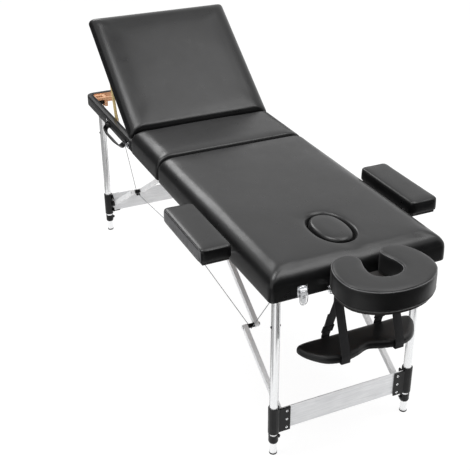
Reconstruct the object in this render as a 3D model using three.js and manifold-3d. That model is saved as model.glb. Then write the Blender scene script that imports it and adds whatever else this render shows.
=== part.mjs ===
// Portable folding massage table with a raised backrest, armrests, face cradle and arm shelf.
// Millimetres, +Z up. +X points to the face cradle, -X to the foot end, -Y to the carry handle.
// The pieces are placed from the centre hinge line (x = 0) and the floor (z = 0), and the whole
// group is then moved along X so that its origin lies under the middle of the object.

import * as THREE from 'three';
import { mergeVertices } from 'three/addons/utils/BufferGeometryUtils.js';
import Module from 'manifold-3d';

const wasm = await Module();
wasm.setup();

// Driving dimensions

const clearance = 0.3;
const weld = 0.3;
const overrun = 20;

const frame = { halfLength: 925, width: 602, bottom: 625, railHeight: 43, railWidth: 24, endGap: 0.5 };
const corner = { outerRadius: 34, jointRadius: 10 };
const batten = { inset: 77, width: 9, depth: 10.5 };
const deck = { thickness: 5, margin: 2, holeHalfLength: 84 };
const pad = { thickness: 43, edgeRadius: 30, crown: 2.4, crownInset: 78, drawIn: 3, margin: 0.6 };
const hip = { length: 308, padSetback: 5 };
const backrest = { length: 594, angle: 37, deckSetback: 7, padSetback: 9 };
const faceHole = { endInset: 190, halfLength: 94, halfWidth: 59, flare: 8, flareDepth: 14 };

const hinge = {
  pinRadius: 3, knuckleRadius: 5.5, knuckleWidth: 24,
  sideInset: 171, leafLength: 34, leafThickness: 2.2,
};
const deckHinge = {
  pinRadius: 2.2, knuckleRadius: 4, knuckleWidth: 26,
  sideInset: 141, leafLength: 24, leafThickness: 2.5,
};

const leg = {
  endInset: 63,
  sideInset: 47.4,
  pivotRise: 17,
  pivotRadius: 4,
  tubeRadius: 14,
  tubeBore: 12.6,
  tubeBottom: 56,
  plugDepth: 34,
};
const yoke = { reach: 19, cheek: 12.6, legGap: 1, backDepth: 16, height: 38.5 };
const bracket = { outerRadius: 18.5, bottom: 86, height: 100, flangeHeight: 92 };
const flange = { reach: 55.6, thickness: 4, offset: 6 };
const collar = { outerRadius: 16.5, tipRadius: 14.6, bottom: 47, top: 76, taper: 5 };
const button = {
  radius: 3.5, bossRadius: 6.4, bossReach: 21.5, bossDepth: 7,
  length: 6, travel: 3, height: 63,
};
const extension = { radius: 12.2, wall: 1.4, top: 320, capHeight: 9, capRadius: 12.8, capPlug: 12 };
const plate = { height: 86, rise: 7, thickness: 3.2, legInset: 20.1 };

const brace = {
  topPinX: 48,
  lowPinInset: 10,
  lowPinRise: 49,
  endRadius: 9,
  width: 16,
  pinRadius: 3.5,
  headRadius: 6,
  headThickness: 3,
  upperInset: 74.6,
  lowerInset: 32.6,
  spacerRadius: 7,
  lugThickness: 4,
};
const cable = { radius: 1.5, legInset: 53.6, endInset: 82, middleX: 3, drop: 268, hangerX: 12 };

const prop = { pivotReach: 260, pivotDrop: 16, armWidth: 18, armThickness: 8, rodRadius: 4, pinRadius: 4 };

const armrest = {
  endInset: 379, length: 325, gap: 21, width: 108,
  rise: 95, thickness: 48, cornerRadius: 16,
};
const armrestEdge = { edgeRadius: 5, drawIn: 1.5 };
const armrestBoard = {
  thickness: 8, margin: 10, rodRadius: 6,
  rodSpacing: 190, rodDrop: 5.5, socketEnd: 3,
};

const cradleRod = { radius: 6, y: 101, rise: 23, innerReach: 95 };
const cradleBar = { reach: 9, thickness: 10, halfWidth: 114, rise: 15, earThickness: 4, earY: 75 };
const cradleAxle = { reach: 30, rise: 20, radius: 4, wall: 2.6 };
const cradlePlate = { rise: 29, thickness: 9.7, inset: 10 };
const cradleBridge = { reach: 21, length: 38, halfWidth: 80, lugY: 64.5, lugWidth: 9 };
const cradlePad = { reach: 5, length: 236, halfWidth: 154, thickness: 74, edgeRadius: 9 };
const shelf = { endInset: 32, depth: 123, halfLength: 207, drop: 205, thickness: 28, edgeRadius: 9 };
const strap = { y: 95, width: 25, thickness: 1.8 };

const handle = {
  reach: 164, halfSpan: 120, depth: 44, thickness: 6,
  width: 24, droop: 45, start: 4, rise: 17,
};
const handlePivot = {
  pinRadius: 2.5, sleeveRadius: 6, sleeveWidth: 20,
  standOff: 9, lugWidth: 5, lugHeight: 12,
};
const latch = {
  sideInset: 99, width: 33, rise: 3, baseHeight: 37,
  baseThickness: 2, pivotRise: 26, pinRadius: 2.4,
};
const lever = { width: 22, length: 50, thickness: 3, barrelRadius: 4.8, earThickness: 3 };
const latchCatch = { rise: 17, height: 20, thickness: 2, width: 26 };
const hook = { width: 14, reach: 7, thickness: 3, height: 9 };

// Round counts

const fineSides = 16;
const roundSides = 12;
const smallSides = 10;
const cableSides = 8;
const ovalSides = 36;
const cornerSteps = 4;
const sideSteps = 4;
const turnSteps = 6;
const outlineSteps = 56;

// Values worked out from the driving dimensions

const railTop = frame.bottom + frame.railHeight;
const halfWidth = frame.width / 2;
const railInner = halfWidth - frame.railWidth;
const endInner = frame.halfLength - frame.railWidth;
const deckBottom = railTop + clearance;
const deckTop = deckBottom + deck.thickness;
const padBottom = deckTop + clearance;
const padTop = padBottom + pad.thickness;
const hingeY = halfWidth - hinge.sideInset;
const deckHingeY = halfWidth - deckHinge.sideInset;
const faceHoleX = frame.halfLength - faceHole.endInset;
const legX = frame.halfLength - leg.endInset;
const legY = halfWidth - leg.sideInset;
const legPivotZ = frame.bottom + leg.pivotRise;
const hingeZ = frame.bottom - hinge.knuckleRadius - clearance;
const battenBottom = railTop - batten.depth;
const flangeInnerY = legY - flange.reach;
const upperY = legY - brace.upperInset;
const lowerY = legY - brace.lowerInset;
const lowPinX = legX - brace.lowPinInset;
const lowPinZ = bracket.bottom + brace.lowPinRise;
const topPinZ = legPivotZ + brace.lowPinInset;
const propPivotX = hip.length + prop.pivotReach;
const propPivotZ = railTop - prop.pivotDrop;
const propInnerY = railInner - clearance - prop.armThickness;
const cableY = legY - cable.legInset;
const cableFrameX = frame.halfLength - cable.endInset;
const cableMiddleZ = frame.bottom - cable.drop;
const plateHalfSpan = legY - plate.legInset;
const plateBottom = bracket.bottom + plate.rise;
const plateX = legX + flange.offset - clearance - plate.thickness;
const armrestX = frame.halfLength - armrest.endInset;
const armrestInner = halfWidth + armrest.gap;
const armrestOuter = armrestInner + armrest.width;
const armrestTop = frame.bottom + armrest.rise;
const armBoardTop = armrestTop - armrest.thickness - clearance;
const armRodZ = armBoardTop - armrestBoard.thickness - armrestBoard.rodDrop;
const armSocketY = railInner + armrestBoard.socketEnd;
const cradleRodZ = frame.bottom + cradleRod.rise;
const cradleBarX = frame.halfLength + cradleBar.reach;
const cradleBarBottom = frame.bottom + cradleBar.rise;
const axleX = frame.halfLength + cradleAxle.reach;
const axleZ = frame.bottom + cradleAxle.rise;
const cradlePlateBottom = frame.bottom + cradlePlate.rise;
const bridgeStartX = frame.halfLength + cradleBridge.reach;
const bridgeEndX = bridgeStartX + cradleBridge.length;
const cradlePadX = frame.halfLength + cradlePad.reach;
const shelfX = frame.halfLength - shelf.endInset;
const shelfTop = axleZ - shelf.drop;
const handleX = hip.length + handle.reach;
const handleZ = frame.bottom + handle.rise;
const latchY = halfWidth - latch.sideInset;
const latchBottom = frame.bottom + latch.rise;
const latchPivotZ = frame.bottom + latch.pivotRise;
const catchBottom = frame.bottom + latchCatch.rise;
const latchX = frame.halfLength + latch.baseThickness + clearance + lever.barrelRadius;
const earY = (lever.width + lever.earThickness) / 2 + clearance;
const degree = Math.PI / 180;

// Shares of the edge radius drawn in and of the thickness gained, from the bottom edge upwards

const softEdgeShares = [[0.1, 0], [0.02, 0.1], [0.05, 0.42], [0.16, 0.62], [0.4, 0.82],
  [0.72, 0.94], [1.15, 1]];
const boxedEdgeShares = [[0.35, 0], [0, 0.06], [0.12, 0.5], [0, 0.9], [0.25, 0.96], [0.9, 1]];
const boardEdgeShares = [[0.6, 0], [0.1, 0.14], [0, 0.45], [0.18, 0.72], [0.55, 0.9], [1.1, 1]];
const plugEdgeShares = [[0, 0], [0, 0.62], [0.04, 0.8], [0.12, 0.91], [0.26, 0.97], [0.5, 1]];

// Half outline of the face cradle from the middle of the U round the lobe to the far end, in
// shares of the length from the table side and of the half width
const cradleShares = [
  [0.655, 0], [0.62, 0.2], [0.53, 0.325], [0.36, 0.325], [0.21, 0.255], [0.12, 0.235], [0.035, 0.31],
  [0, 0.5], [0.07, 0.78], [0.22, 0.93], [0.45, 1], [0.7, 0.93], [0.9, 0.62], [0.98, 0.3], [1, 0],
];
// Half outline of the arm shelf from the middle of its back to the middle of its front, in
// shares of the depth and of the half length
const shelfShares = [
  [0, 0], [0, 0.25], [0, 0.55], [0.012, 0.86], [0.09, 0.985], [0.3, 0.985], [0.62, 0.88], [0.88, 0.72],
  [0.98, 0.48], [0.9, 0.22], [0.78, 0],
];

// Materials

const finish = (color, roughness, metalness) => (
  new THREE.MeshStandardMaterial({ color, roughness, metalness }));
const blackLeather = () => finish(0x26272a, 0.42, 0);
const wrappedWood = () => finish(0x1f2022, 0.5, 0);
const plywood = () => finish(0x2b2622, 0.7, 0);
const beech = () => finish(0xd9b98a, 0.6, 0);
const polishedAluminium = () => finish(0xdcdde0, 0.22, 1);
const brushedAluminium = () => finish(0xcfd1d4, 0.4, 1);
const blackPlastic = () => finish(0x1c1d1f, 0.55, 0);
const chromedSteel = () => finish(0xe6e8ea, 0.12, 1);
const blackWebbing = () => finish(0x161617, 0.8, 0);
const steelCable = () => finish(0x9a9ca0, 0.35, 1);

// Solids from geometry and back

function toSolid(geometry) {
  const bare = geometry.clone();
  bare.deleteAttribute('normal');
  bare.deleteAttribute('uv');
  const merged = mergeVertices(bare);
  const vertProperties = new Float32Array(merged.attributes.position.array);
  const triVerts = new Uint32Array(merged.index.array);
  return new wasm.Manifold(new wasm.Mesh({ numProp: 3, vertProperties, triVerts }));
}

function toGeometry(solid) {
  const mesh = solid.getMesh();
  const geometry = new THREE.BufferGeometry();
  geometry.setAttribute('position',
    new THREE.BufferAttribute(new Float32Array(mesh.vertProperties), mesh.numProp));
  geometry.setIndex(new THREE.BufferAttribute(new Uint32Array(mesh.triVerts), 1));
  return geometry;
}

function join(...geometries) {
  return toGeometry(geometries.map(toSolid).reduce((whole, next) => whole.add(next)));
}

function cut(geometry, ...tools) {
  return toGeometry(tools.map(toSolid).reduce((whole, next) => whole.subtract(next), toSolid(geometry)));
}

// Basic bodies, whose spans are [low, high]

const spanAt = (middle, width) => [middle - width / 2, middle + width / 2];
const longer = (span) => [span[0] - overrun, span[1] + overrun];

function block(x, y, z) {
  const box = new THREE.BoxGeometry(x[1] - x[0], y[1] - y[0], z[1] - z[0]);
  return box.translate((x[0] + x[1]) / 2, (y[0] + y[1]) / 2, (z[0] + z[1]) / 2);
}

function rodX(span, y, z, radius, sides = roundSides) {
  const rod = new THREE.CylinderGeometry(radius, radius, span[1] - span[0], sides);
  return rod.rotateZ(Math.PI / 2).translate((span[0] + span[1]) / 2, y, z);
}

function rodY(x, span, z, radius, sides = roundSides) {
  const rod = new THREE.CylinderGeometry(radius, radius, span[1] - span[0], sides);
  return rod.translate(x, (span[0] + span[1]) / 2, z);
}

function rodZ(x, y, span, radius, sides = fineSides) {
  const rod = new THREE.CylinderGeometry(radius, radius, span[1] - span[0], sides);
  return rod.rotateX(Math.PI / 2).translate(x, y, (span[0] + span[1]) / 2);
}

// a side view outline (x, z) given its width along Y
function sidePlate(shape, y) {
  const slab = new THREE.ExtrudeGeometry(shape,
    { depth: y[1] - y[0], bevelEnabled: false, curveSegments: turnSteps });
  return slab.rotateX(Math.PI / 2).translate(0, y[1], 0);
}

// a closed profile of [radius, height] turned round an upright axis
function turned(profile, x, y) {
  const points = profile.map(([radius, height]) => new THREE.Vector2(radius, height));
  const lathe = new THREE.LatheGeometry([...points, points[0].clone()], fineSides);
  return lathe.rotateX(Math.PI / 2).translate(x, y, 0);
}

// a flat link with round ends between two points of the side view
function roundBar(from, to, radius, y) {
  const along = Math.atan2(to[1] - from[1], to[0] - from[0]);
  const shape = new THREE.Shape();
  shape.absarc(from[0], from[1], radius, along + Math.PI / 2, along + 3 * Math.PI / 2, false);
  shape.absarc(to[0], to[1], radius, along - Math.PI / 2, along + Math.PI / 2, false);
  return sidePlate(shape, y);
}

// the same geometry on the other half (sideX = -1) or the other hand (sideY = -1)
function mirrored(geometry, sideX, sideY) {
  const copy = mergeVertices(geometry.clone()).scale(sideX, sideY, 1);
  if (sideX * sideY > 0) return copy;
  const index = copy.index.array;
  for (let i = 0; i < index.length; i += 3) {
    const first = index[i];
    index[i] = index[i + 2];
    index[i + 2] = first;
  }
  return copy;
}

// Padded forms are rings of points, bottom to top, closed by a flat face at each end

function ringStack(rings) {
  const count = rings[0].length;
  const positions = rings.flat().flatMap((point) => [point.x, point.y, point.z]);
  const index = [];
  for (let level = 0; level + 1 < rings.length; level += 1) {
    for (let i = 0; i < count; i += 1) {
      const low = level * count + i;
      const lowNext = level * count + (i + 1) % count;
      index.push(low, lowNext, lowNext + count, low, lowNext + count, low + count);
    }
  }
  const flat = (ring) => ring.map((point) => new THREE.Vector2(point.x, point.y));
  const top = (rings.length - 1) * count;
  const bottomFaces = THREE.ShapeUtils.triangulateShape(flat(rings[0]), []);
  bottomFaces.forEach(([a, b, c]) => index.push(c, b, a));
  const topFaces = THREE.ShapeUtils.triangulateShape(flat(rings[rings.length - 1]), []);
  topFaces.forEach(([a, b, c]) => index.push(top + a, top + b, top + c));
  const geometry = new THREE.BufferGeometry();
  geometry.setAttribute('position', new THREE.Float32BufferAttribute(positions, 3));
  geometry.setIndex(index);
  return geometry;
}

// a rounded rectangle, counter-clockwise, whose sides pull in between the corners;
// radii holds the corner radius at the low and at the high end of X
function rectangleRing(x, y, radii, drawIn, inset, z) {
  const [lowRadius, highRadius] = radii.map((radius) => Math.max(radius - inset, radius / 3));
  const low = [x[0] + inset, y[0] + inset];
  const high = [x[1] - inset, y[1] - inset];
  const corners = [
    { x: high[0] - highRadius, y: low[1] + highRadius, radius: highRadius, start: -Math.PI / 2 },
    { x: high[0] - highRadius, y: high[1] - highRadius, radius: highRadius, start: 0 },
    { x: low[0] + lowRadius, y: high[1] - lowRadius, radius: lowRadius, start: Math.PI / 2 },
    { x: low[0] + lowRadius, y: low[1] + lowRadius, radius: lowRadius, start: Math.PI },
  ];
  const onCorner = (place, angle) => new THREE.Vector3(
    place.x + place.radius * Math.cos(angle), place.y + place.radius * Math.sin(angle), z);
  return corners.flatMap((place, k) => {
    const next = corners[(k + 1) % corners.length];
    const arc = Array.from({ length: cornerSteps + 1 }, (unused, i) =>
      onCorner(place, place.start + (i / cornerSteps) * Math.PI / 2));
    const from = arc[cornerSteps];
    const to = onCorner(next, next.start);
    const inward = new THREE.Vector3(-Math.cos(next.start), -Math.sin(next.start), 0);
    const side = Array.from({ length: sideSteps - 1 }, (unused, i) => {
      const share = (i + 1) / sideSteps;
      return from.clone().lerp(to, share).addScaledVector(inward, drawIn * Math.sin(Math.PI * share));
    });
    return [...arc, ...side];
  });
}

function rectanglePad(x, y, z, radii, edge, edgeShares) {
  const rings = edgeShares.map(([inShare, upShare]) =>
    rectangleRing(x, y, radii, edge.drawIn, inShare * edge.edgeRadius, z[0] + upShare * (z[1] - z[0])));
  if (edge.crown) {
    rings.push(rectangleRing(x, y, radii, edge.drawIn, edge.crownInset, z[1] + edge.crown));
  }
  return ringStack(rings);
}

function rectanglePlate(x, y, z, radii) {
  return ringStack(z.map((height) => rectangleRing(x, y, radii, 0, 0, height)));
}

// a closed smooth outline through half an outline of shares and its mirror image
function smoothOutline(shares, x, length, half) {
  const place = ([along, across], side) => new THREE.Vector3(x + along * length, side * across * half, 0);
  const upper = shares.map((share) => place(share, 1));
  const lower = shares.slice(1, -1).reverse().map((share) => place(share, -1));
  const curve = new THREE.CatmullRomCurve3([...upper, ...lower], true, 'centripetal');
  const outline = curve.getSpacedPoints(outlineSteps).slice(0, outlineSteps);
  return THREE.ShapeUtils.isClockWise(outline) ? outline.reverse() : outline;
}

function insetRing(outline, inset, z) {
  return outline.map((point, i) => {
    const before = outline[(i + outline.length - 1) % outline.length];
    const after = outline[(i + 1) % outline.length];
    const along = after.clone().sub(before).normalize();
    return new THREE.Vector3(point.x - along.y * inset, point.y + along.x * inset, z);
  });
}

function outlinePad(outline, z, edgeRadius, edgeShares) {
  return ringStack(edgeShares.map(([inShare, upShare]) =>
    insetRing(outline, inShare * edgeRadius, z[0] + upShare * (z[1] - z[0]))));
}

function ovalRing(grow, z) {
  return Array.from({ length: ovalSides }, (unused, i) => {
    const angle = 2 * Math.PI * i / ovalSides;
    return new THREE.Vector3(
      faceHoleX + (faceHole.halfLength + grow) * Math.cos(angle),
      (faceHole.halfWidth + grow) * Math.sin(angle), z);
  });
}

// Scene graph

const table = new THREE.Group();
const halves = [['head', 1], ['foot', -1]];
const hands = [['left', -1], ['right', 1]];

function addMesh(name, geometry, material, group = table) {
  geometry.computeVertexNormals();
  const mesh = new THREE.Mesh(geometry, material);
  mesh.name = name;
  group.add(mesh);
}

// Frame of one half, drawn on the +X side: a ring of rails with yokes for the leg tops, a batten
// across them, hangers for the braces and the knuckles of the centre hinge

function frameRing() {
  const radii = [corner.jointRadius, corner.outerRadius];
  const outer = rectanglePlate([frame.endGap, frame.halfLength], [-halfWidth, halfWidth],
    [frame.bottom, railTop], radii);
  const inner = block(
    [frame.endGap + frame.railWidth, endInner], [-railInner, railInner], longer([frame.bottom, railTop]));
  return cut(outer, inner);
}

function crossBatten() {
  const end = frame.halfLength - batten.inset;
  return block([end - batten.width, end], [-railInner - weld, railInner + weld], [battenBottom, railTop]);
}

function legYoke() {
  const top = frame.bottom + yoke.height;
  const slotHalf = leg.tubeRadius + yoke.legGap;
  const innerY = legY - slotHalf - yoke.cheek;
  const body = block([legX - yoke.reach, endInner + weld], [innerY, railInner + weld], [frame.bottom, top]);
  const slot = block(
    [legX - yoke.reach - overrun, endInner - yoke.backDepth], spanAt(legY, 2 * slotHalf),
    longer([frame.bottom, top]));
  const pin = rodY(legX, [innerY, railInner + weld], legPivotZ, leg.pivotRadius);
  return join(cut(body, slot), pin);
}

function braceHanger() {
  const earSide = upperY + brace.width / 2 + clearance;
  const ear = block(
    [frame.endGap + frame.railWidth - weld, brace.topPinX + brace.endRadius],
    [earSide, earSide + brace.lugThickness],
    spanAt(topPinZ, 2 * brace.endRadius));
  const pinEnd = earSide - brace.width - 2 * clearance;
  const pin = rodY(brace.topPinX, [pinEnd, earSide + weld], topPinZ, brace.pinRadius);
  const head = rodY(brace.topPinX, [pinEnd - brace.headThickness, pinEnd], topPinZ,
    brace.headRadius, smallSides);
  return join(ear, pin, head);
}

function hingeKnuckle(span) {
  const leaf = block([0, hinge.leafLength], span,
    [frame.bottom - hinge.leafThickness, frame.bottom + weld]);
  const barrel = rodY(0, span, hingeZ, hinge.knuckleRadius);
  const arm = block([0, hinge.knuckleRadius], span, [hingeZ, frame.bottom - clearance]);
  const bore = rodY(0, longer(span), hingeZ, hinge.pinRadius + clearance);
  const relief = block([-hinge.leafLength, frame.endGap], longer(span),
    [frame.bottom - clearance, railTop]);
  return cut(join(leaf, barrel, arm), bore, relief);
}

function knuckleSpans(sideX) {
  const pitch = hinge.knuckleWidth + clearance;
  const places = sideX > 0 ? [0] : [-pitch, pitch];
  const stations = [-hingeY, hingeY];
  return stations.flatMap((y) => places.map((place) => spanAt(y + place, hinge.knuckleWidth)));
}

function plainFrame(sideX) {
  const fittings = [legYoke(), braceHanger()];
  const bothHands = fittings.flatMap((piece) => [piece, mirrored(piece, 1, -1)]);
  return join(frameRing(), crossBatten(), ...bothHands, ...knuckleSpans(sideX).map(hingeKnuckle));
}

// chromed base of a latch on the end face, with the ears and the pin of its lever
function latchBase() {
  const base = block(
    [frame.halfLength - weld, frame.halfLength + latch.baseThickness],
    spanAt(latchY, latch.width), [latchBottom, latchBottom + latch.baseHeight]);
  const ears = [-earY, earY].map((offset) => block(
    [frame.halfLength, latchX + latch.pinRadius + clearance],
    spanAt(latchY + offset, lever.earThickness), spanAt(latchPivotZ, 2 * lever.barrelRadius)));
  const pin = rodY(latchX, spanAt(latchY, 2 * earY), latchPivotZ, latch.pinRadius, smallSides);
  return join(base, ...ears, pin);
}

function headFrame() {
  const rodSocket = rodX(longer([legX, frame.halfLength]), cradleRod.y, cradleRodZ,
    cradleRod.radius + clearance);
  const armSockets = armRodPlaces().map((x) =>
    rodY(x, [armSocketY, halfWidth + overrun], armRodZ, armrestBoard.rodRadius + clearance));
  const sockets = [rodSocket, ...armSockets].flatMap((socket) => [socket, mirrored(socket, 1, -1)]);
  const base = latchBase();
  return join(cut(plainFrame(1), ...sockets), base, mirrored(base, 1, -1));
}

function armRodPlaces() {
  return [armrestX - armrestBoard.rodSpacing / 2, armrestX + armrestBoard.rodSpacing / 2];
}

// lugs on the left rail with pins through the sleeves of the carry handle
function handleLug(end) {
  const sleeveX = handleX + end * (handle.halfSpan - handle.thickness / 2);
  const lugX = sleeveX + end * (handlePivot.sleeveWidth / 2 + clearance + handlePivot.lugWidth / 2);
  const pinTip = lugX - end * (handlePivot.lugWidth / 2 + clearance + handlePivot.sleeveWidth);
  const pinY = -halfWidth - handlePivot.standOff;
  const lug = block(
    spanAt(lugX, handlePivot.lugWidth), [pinY - 2 * handlePivot.pinRadius, -halfWidth + weld],
    spanAt(handleZ, handlePivot.lugHeight));
  const pinSpan = [Math.min(lugX, pinTip), Math.max(lugX, pinTip)];
  return join(lug, rodX(pinSpan, pinY, handleZ, handlePivot.pinRadius, smallSides));
}

function footFrame() {
  const propPin = rodY(propPivotX, [propInnerY, railInner + weld], propPivotZ, prop.pinRadius);
  const fittings = [propPin, mirrored(propPin, 1, -1), handleLug(-1), handleLug(1)];
  return mirrored(join(plainFrame(-1), ...fittings), -1, 1);
}

// Decks and cushions of the flat sections

function headDeck() {
  const board = rectanglePlate(
    [frame.endGap + deck.margin, frame.halfLength - deck.margin],
    [deck.margin - halfWidth, halfWidth - deck.margin], [deckBottom, deckTop],
    [corner.jointRadius, corner.outerRadius]);
  const inset = deck.holeHalfLength - faceHole.halfLength;
  return cut(board, ringStack(longer([deckBottom, deckTop]).map((z) => ovalRing(inset, z))));
}

function headCushion() {
  const whole = rectanglePad(
    [frame.endGap + pad.margin, frame.halfLength], [-halfWidth, halfWidth], [padBottom, padTop],
    [corner.jointRadius, corner.outerRadius], pad, softEdgeShares);
  const hole = ringStack([
    ovalRing(clearance, padBottom - overrun),
    ovalRing(clearance, padTop - faceHole.flareDepth),
    ovalRing(faceHole.flare / 2, padTop - faceHole.flareDepth / 3),
    ovalRing(faceHole.flare, padTop + pad.crown),
    ovalRing(faceHole.flare, padTop + overrun),
  ]);
  return cut(whole, hole);
}

function facePlug() {
  const height = pad.thickness + pad.crown;
  return ringStack(plugEdgeShares.map(([inShare, upShare]) =>
    ovalRing(-inShare * faceHole.halfWidth, padBottom + upShare * height)));
}

// barrel and leaf of the hinge under the decks, about the origin; side is +1 for the hip deck
function deckKnuckle(side, y) {
  const barrel = rodY(0, y, 0, deckHinge.knuckleRadius, smallSides);
  const leafX = side > 0 ? [0, deckHinge.leafLength] : [-deckHinge.leafLength, 0];
  const leaf = block(leafX, y, [clearance / 2, clearance / 2 + deckHinge.leafThickness]);
  return join(barrel, leaf);
}

function hipDeck() {
  const board = rectanglePlate(
    [-hip.length + deckHinge.knuckleRadius + clearance, -frame.endGap - deck.margin],
    [deck.margin - halfWidth, halfWidth - deck.margin], [deckBottom, deckTop],
    [corner.jointRadius, corner.jointRadius]);
  const pinWidth = 3 * deckHinge.knuckleWidth + 2 * clearance;
  const knuckles = [-deckHingeY, deckHingeY].map((y) => join(
    deckKnuckle(1, spanAt(y, deckHinge.knuckleWidth)),
    rodY(0, spanAt(y, pinWidth), 0, deckHinge.pinRadius, smallSides)).translate(-hip.length, 0, railTop));
  return join(board, ...knuckles);
}

function hipCushion() {
  return rectanglePad(
    [-hip.length + hip.padSetback, -frame.endGap - pad.margin], [-halfWidth, halfWidth],
    [padBottom, padTop], [corner.jointRadius, corner.jointRadius], pad, softEdgeShares);
}

// Backrest, drawn flat from its hinge line and then raised

function backrestDeck() {
  const board = rectanglePlate(
    [-backrest.length, -backrest.deckSetback], [deck.margin - halfWidth, halfWidth - deck.margin],
    [clearance, clearance + deck.thickness], [corner.outerRadius, corner.jointRadius]);
  const pitch = deckHinge.knuckleWidth + clearance;
  const stations = [-deckHingeY, deckHingeY];
  const knuckles = stations.flatMap((y) => [-pitch, pitch].map((place) => {
    const span = spanAt(y + place, deckHinge.knuckleWidth);
    const bore = rodY(0, longer(span), 0, deckHinge.pinRadius + clearance, smallSides);
    return cut(deckKnuckle(-1, span), bore);
  }));
  return join(board, ...knuckles);
}

function backrestCushion() {
  return rectanglePad(
    [-backrest.length, -backrest.padSetback], [-halfWidth, halfWidth],
    [padBottom - railTop, padTop - railTop], [corner.outerRadius, corner.jointRadius], pad, softEdgeShares);
}

function addBackrest() {
  const raised = new THREE.Group();
  raised.position.set(-hip.length, 0, railTop);
  raised.rotation.y = backrest.angle * degree;
  addMesh('backrest_deck', backrestDeck(), plywood(), raised);
  addMesh('backrest_cushion', backrestCushion(), blackLeather(), raised);
  table.add(raised);
}

// Prop: two arms pinned to the rails and a rod that the backrest leans on. The arms are as long as
// the distance between the two hinge lines, so they turn twice as far as the backrest does.

function backrestProp() {
  const armY = [propInnerY, railInner - clearance];
  const rodOffset = prop.pivotDrop - prop.rodRadius / Math.cos(backrest.angle * degree);
  const arm = cut(
    roundBar([-prop.pivotReach, 0], [0, 0], prop.armWidth / 2, armY),
    rodY(0, longer(armY), 0, prop.pinRadius + clearance));
  const cheek = block(spanAt(-prop.pivotReach, 2 * prop.rodRadius), armY, [0, rodOffset]);
  const rod = rodY(-prop.pivotReach, [-armY[1], armY[1]], rodOffset, prop.rodRadius);
  return join(...[arm, cheek].flatMap((piece) => [piece, mirrored(piece, 1, -1)]), rod);
}

function addProp() {
  const raised = new THREE.Group();
  raised.position.set(-propPivotX, 0, propPivotZ);
  raised.rotation.y = 2 * backrest.angle * degree;
  addMesh('backrest_prop', backrestProp(), beech(), raised);
  table.add(raised);
}

// Legs, drawn at the +X end on the +Y hand

function legTube() {
  const top = legPivotZ + leg.tubeRadius;
  const bore = rodZ(legX, legY, [leg.tubeBottom - overrun, top - leg.plugDepth], leg.tubeBore);
  const pivot = rodY(legX, spanAt(legY, 4 * leg.tubeRadius), legPivotZ, leg.pivotRadius + clearance);
  return cut(rodZ(legX, legY, [leg.tubeBottom, top], leg.tubeRadius), bore, pivot);
}

function legBracket() {
  const top = bracket.bottom + bracket.height;
  const sleeve = rodZ(legX, legY, [bracket.bottom, top], bracket.outerRadius);
  const wing = block(
    [legX + flange.offset, legX + flange.offset + flange.thickness], [flangeInnerY, legY],
    [bracket.bottom, bracket.bottom + bracket.flangeHeight]);
  const linkFace = lowerY + brace.width / 2 + clearance;
  const lug = block(
    [lowPinX - brace.endRadius, plateX - clearance], [linkFace, legY - leg.tubeRadius],
    spanAt(lowPinZ, 2 * brace.endRadius));
  const pinEnd = linkFace - brace.width - 2 * clearance;
  const pin = rodY(lowPinX, [pinEnd, linkFace + weld], lowPinZ, brace.pinRadius);
  const head = rodY(lowPinX, [pinEnd - brace.headThickness, pinEnd], lowPinZ,
    brace.headRadius, smallSides);
  const bore = rodZ(legX, legY, longer([bracket.bottom, top]), leg.tubeRadius + clearance);
  return cut(join(sleeve, wing, lug, pin, head), bore);
}

// the button stands one travel proud of its boss, on the side facing the other leg
function buttonSpan() {
  const face = legY - button.bossReach - button.travel;
  return [face, face + button.length];
}

function legCollar() {
  const step = leg.tubeBottom - clearance;
  const ring = turned([
    [extension.radius + clearance, collar.bottom],
    [collar.tipRadius, collar.bottom],
    [collar.outerRadius, collar.bottom + collar.taper],
    [collar.outerRadius, collar.top],
    [leg.tubeRadius + clearance, collar.top],
    [leg.tubeRadius + clearance, step],
    [extension.radius + clearance, step],
  ], legX, legY);
  const bossFace = legY - button.bossReach;
  const boss = rodY(legX, [bossFace, bossFace + button.bossDepth], button.height, button.bossRadius);
  const boreEnd = buttonSpan()[1] + button.travel + clearance;
  const bore = rodY(legX, [bossFace - overrun, boreEnd], button.height, button.radius + clearance,
    smallSides);
  return cut(join(ring, boss), bore);
}

function legButton() {
  return rodY(legX, buttonSpan(), button.height, button.radius, smallSides);
}

function legExtension() {
  const inner = extension.radius - extension.wall;
  const bottom = extension.capHeight + extension.capPlug;
  const body = rodZ(legX, legY, [0, extension.top], extension.radius);
  const cap = rodZ(legX, legY, [0, extension.capHeight], extension.capRadius);
  return cut(join(body, cap), rodZ(legX, legY, [bottom, extension.top + overrun], inner));
}

// brushed bar between the two legs of one end
function crossPlate() {
  return block(
    [plateX, plateX + plate.thickness], [-plateHalfSpan, plateHalfSpan],
    [plateBottom, plateBottom + plate.height]);
}

// The two links of a brace lie on one line when the leg stands. Their lengths differ by the distance
// between their end pins when the leg lies flat, so they then fold onto each other.
function braceKnee() {
  const straight = Math.hypot(lowPinX - brace.topPinX, topPinZ - lowPinZ);
  const foldedX = legX - (legPivotZ - lowPinZ);
  const lowerShare = (straight - (foldedX - brace.topPinX)) / 2 / straight;
  return [
    lowPinX + (brace.topPinX - lowPinX) * lowerShare,
    lowPinZ + (topPinZ - lowPinZ) * lowerShare,
  ];
}

function boredLink(from, to, y) {
  const bore = rodY(from[0], longer(y), from[1], brace.pinRadius + clearance);
  return cut(roundBar(from, to, brace.endRadius, y), bore);
}

function braceLower() {
  const [kneeX, kneeZ] = braceKnee();
  const y = spanAt(lowerY, brace.width);
  const head = rodY(kneeX, [y[1] - weld, y[1] + brace.headThickness], kneeZ, brace.headRadius, smallSides);
  return join(boredLink([lowPinX, lowPinZ], [kneeX, kneeZ], y), head);
}

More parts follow.
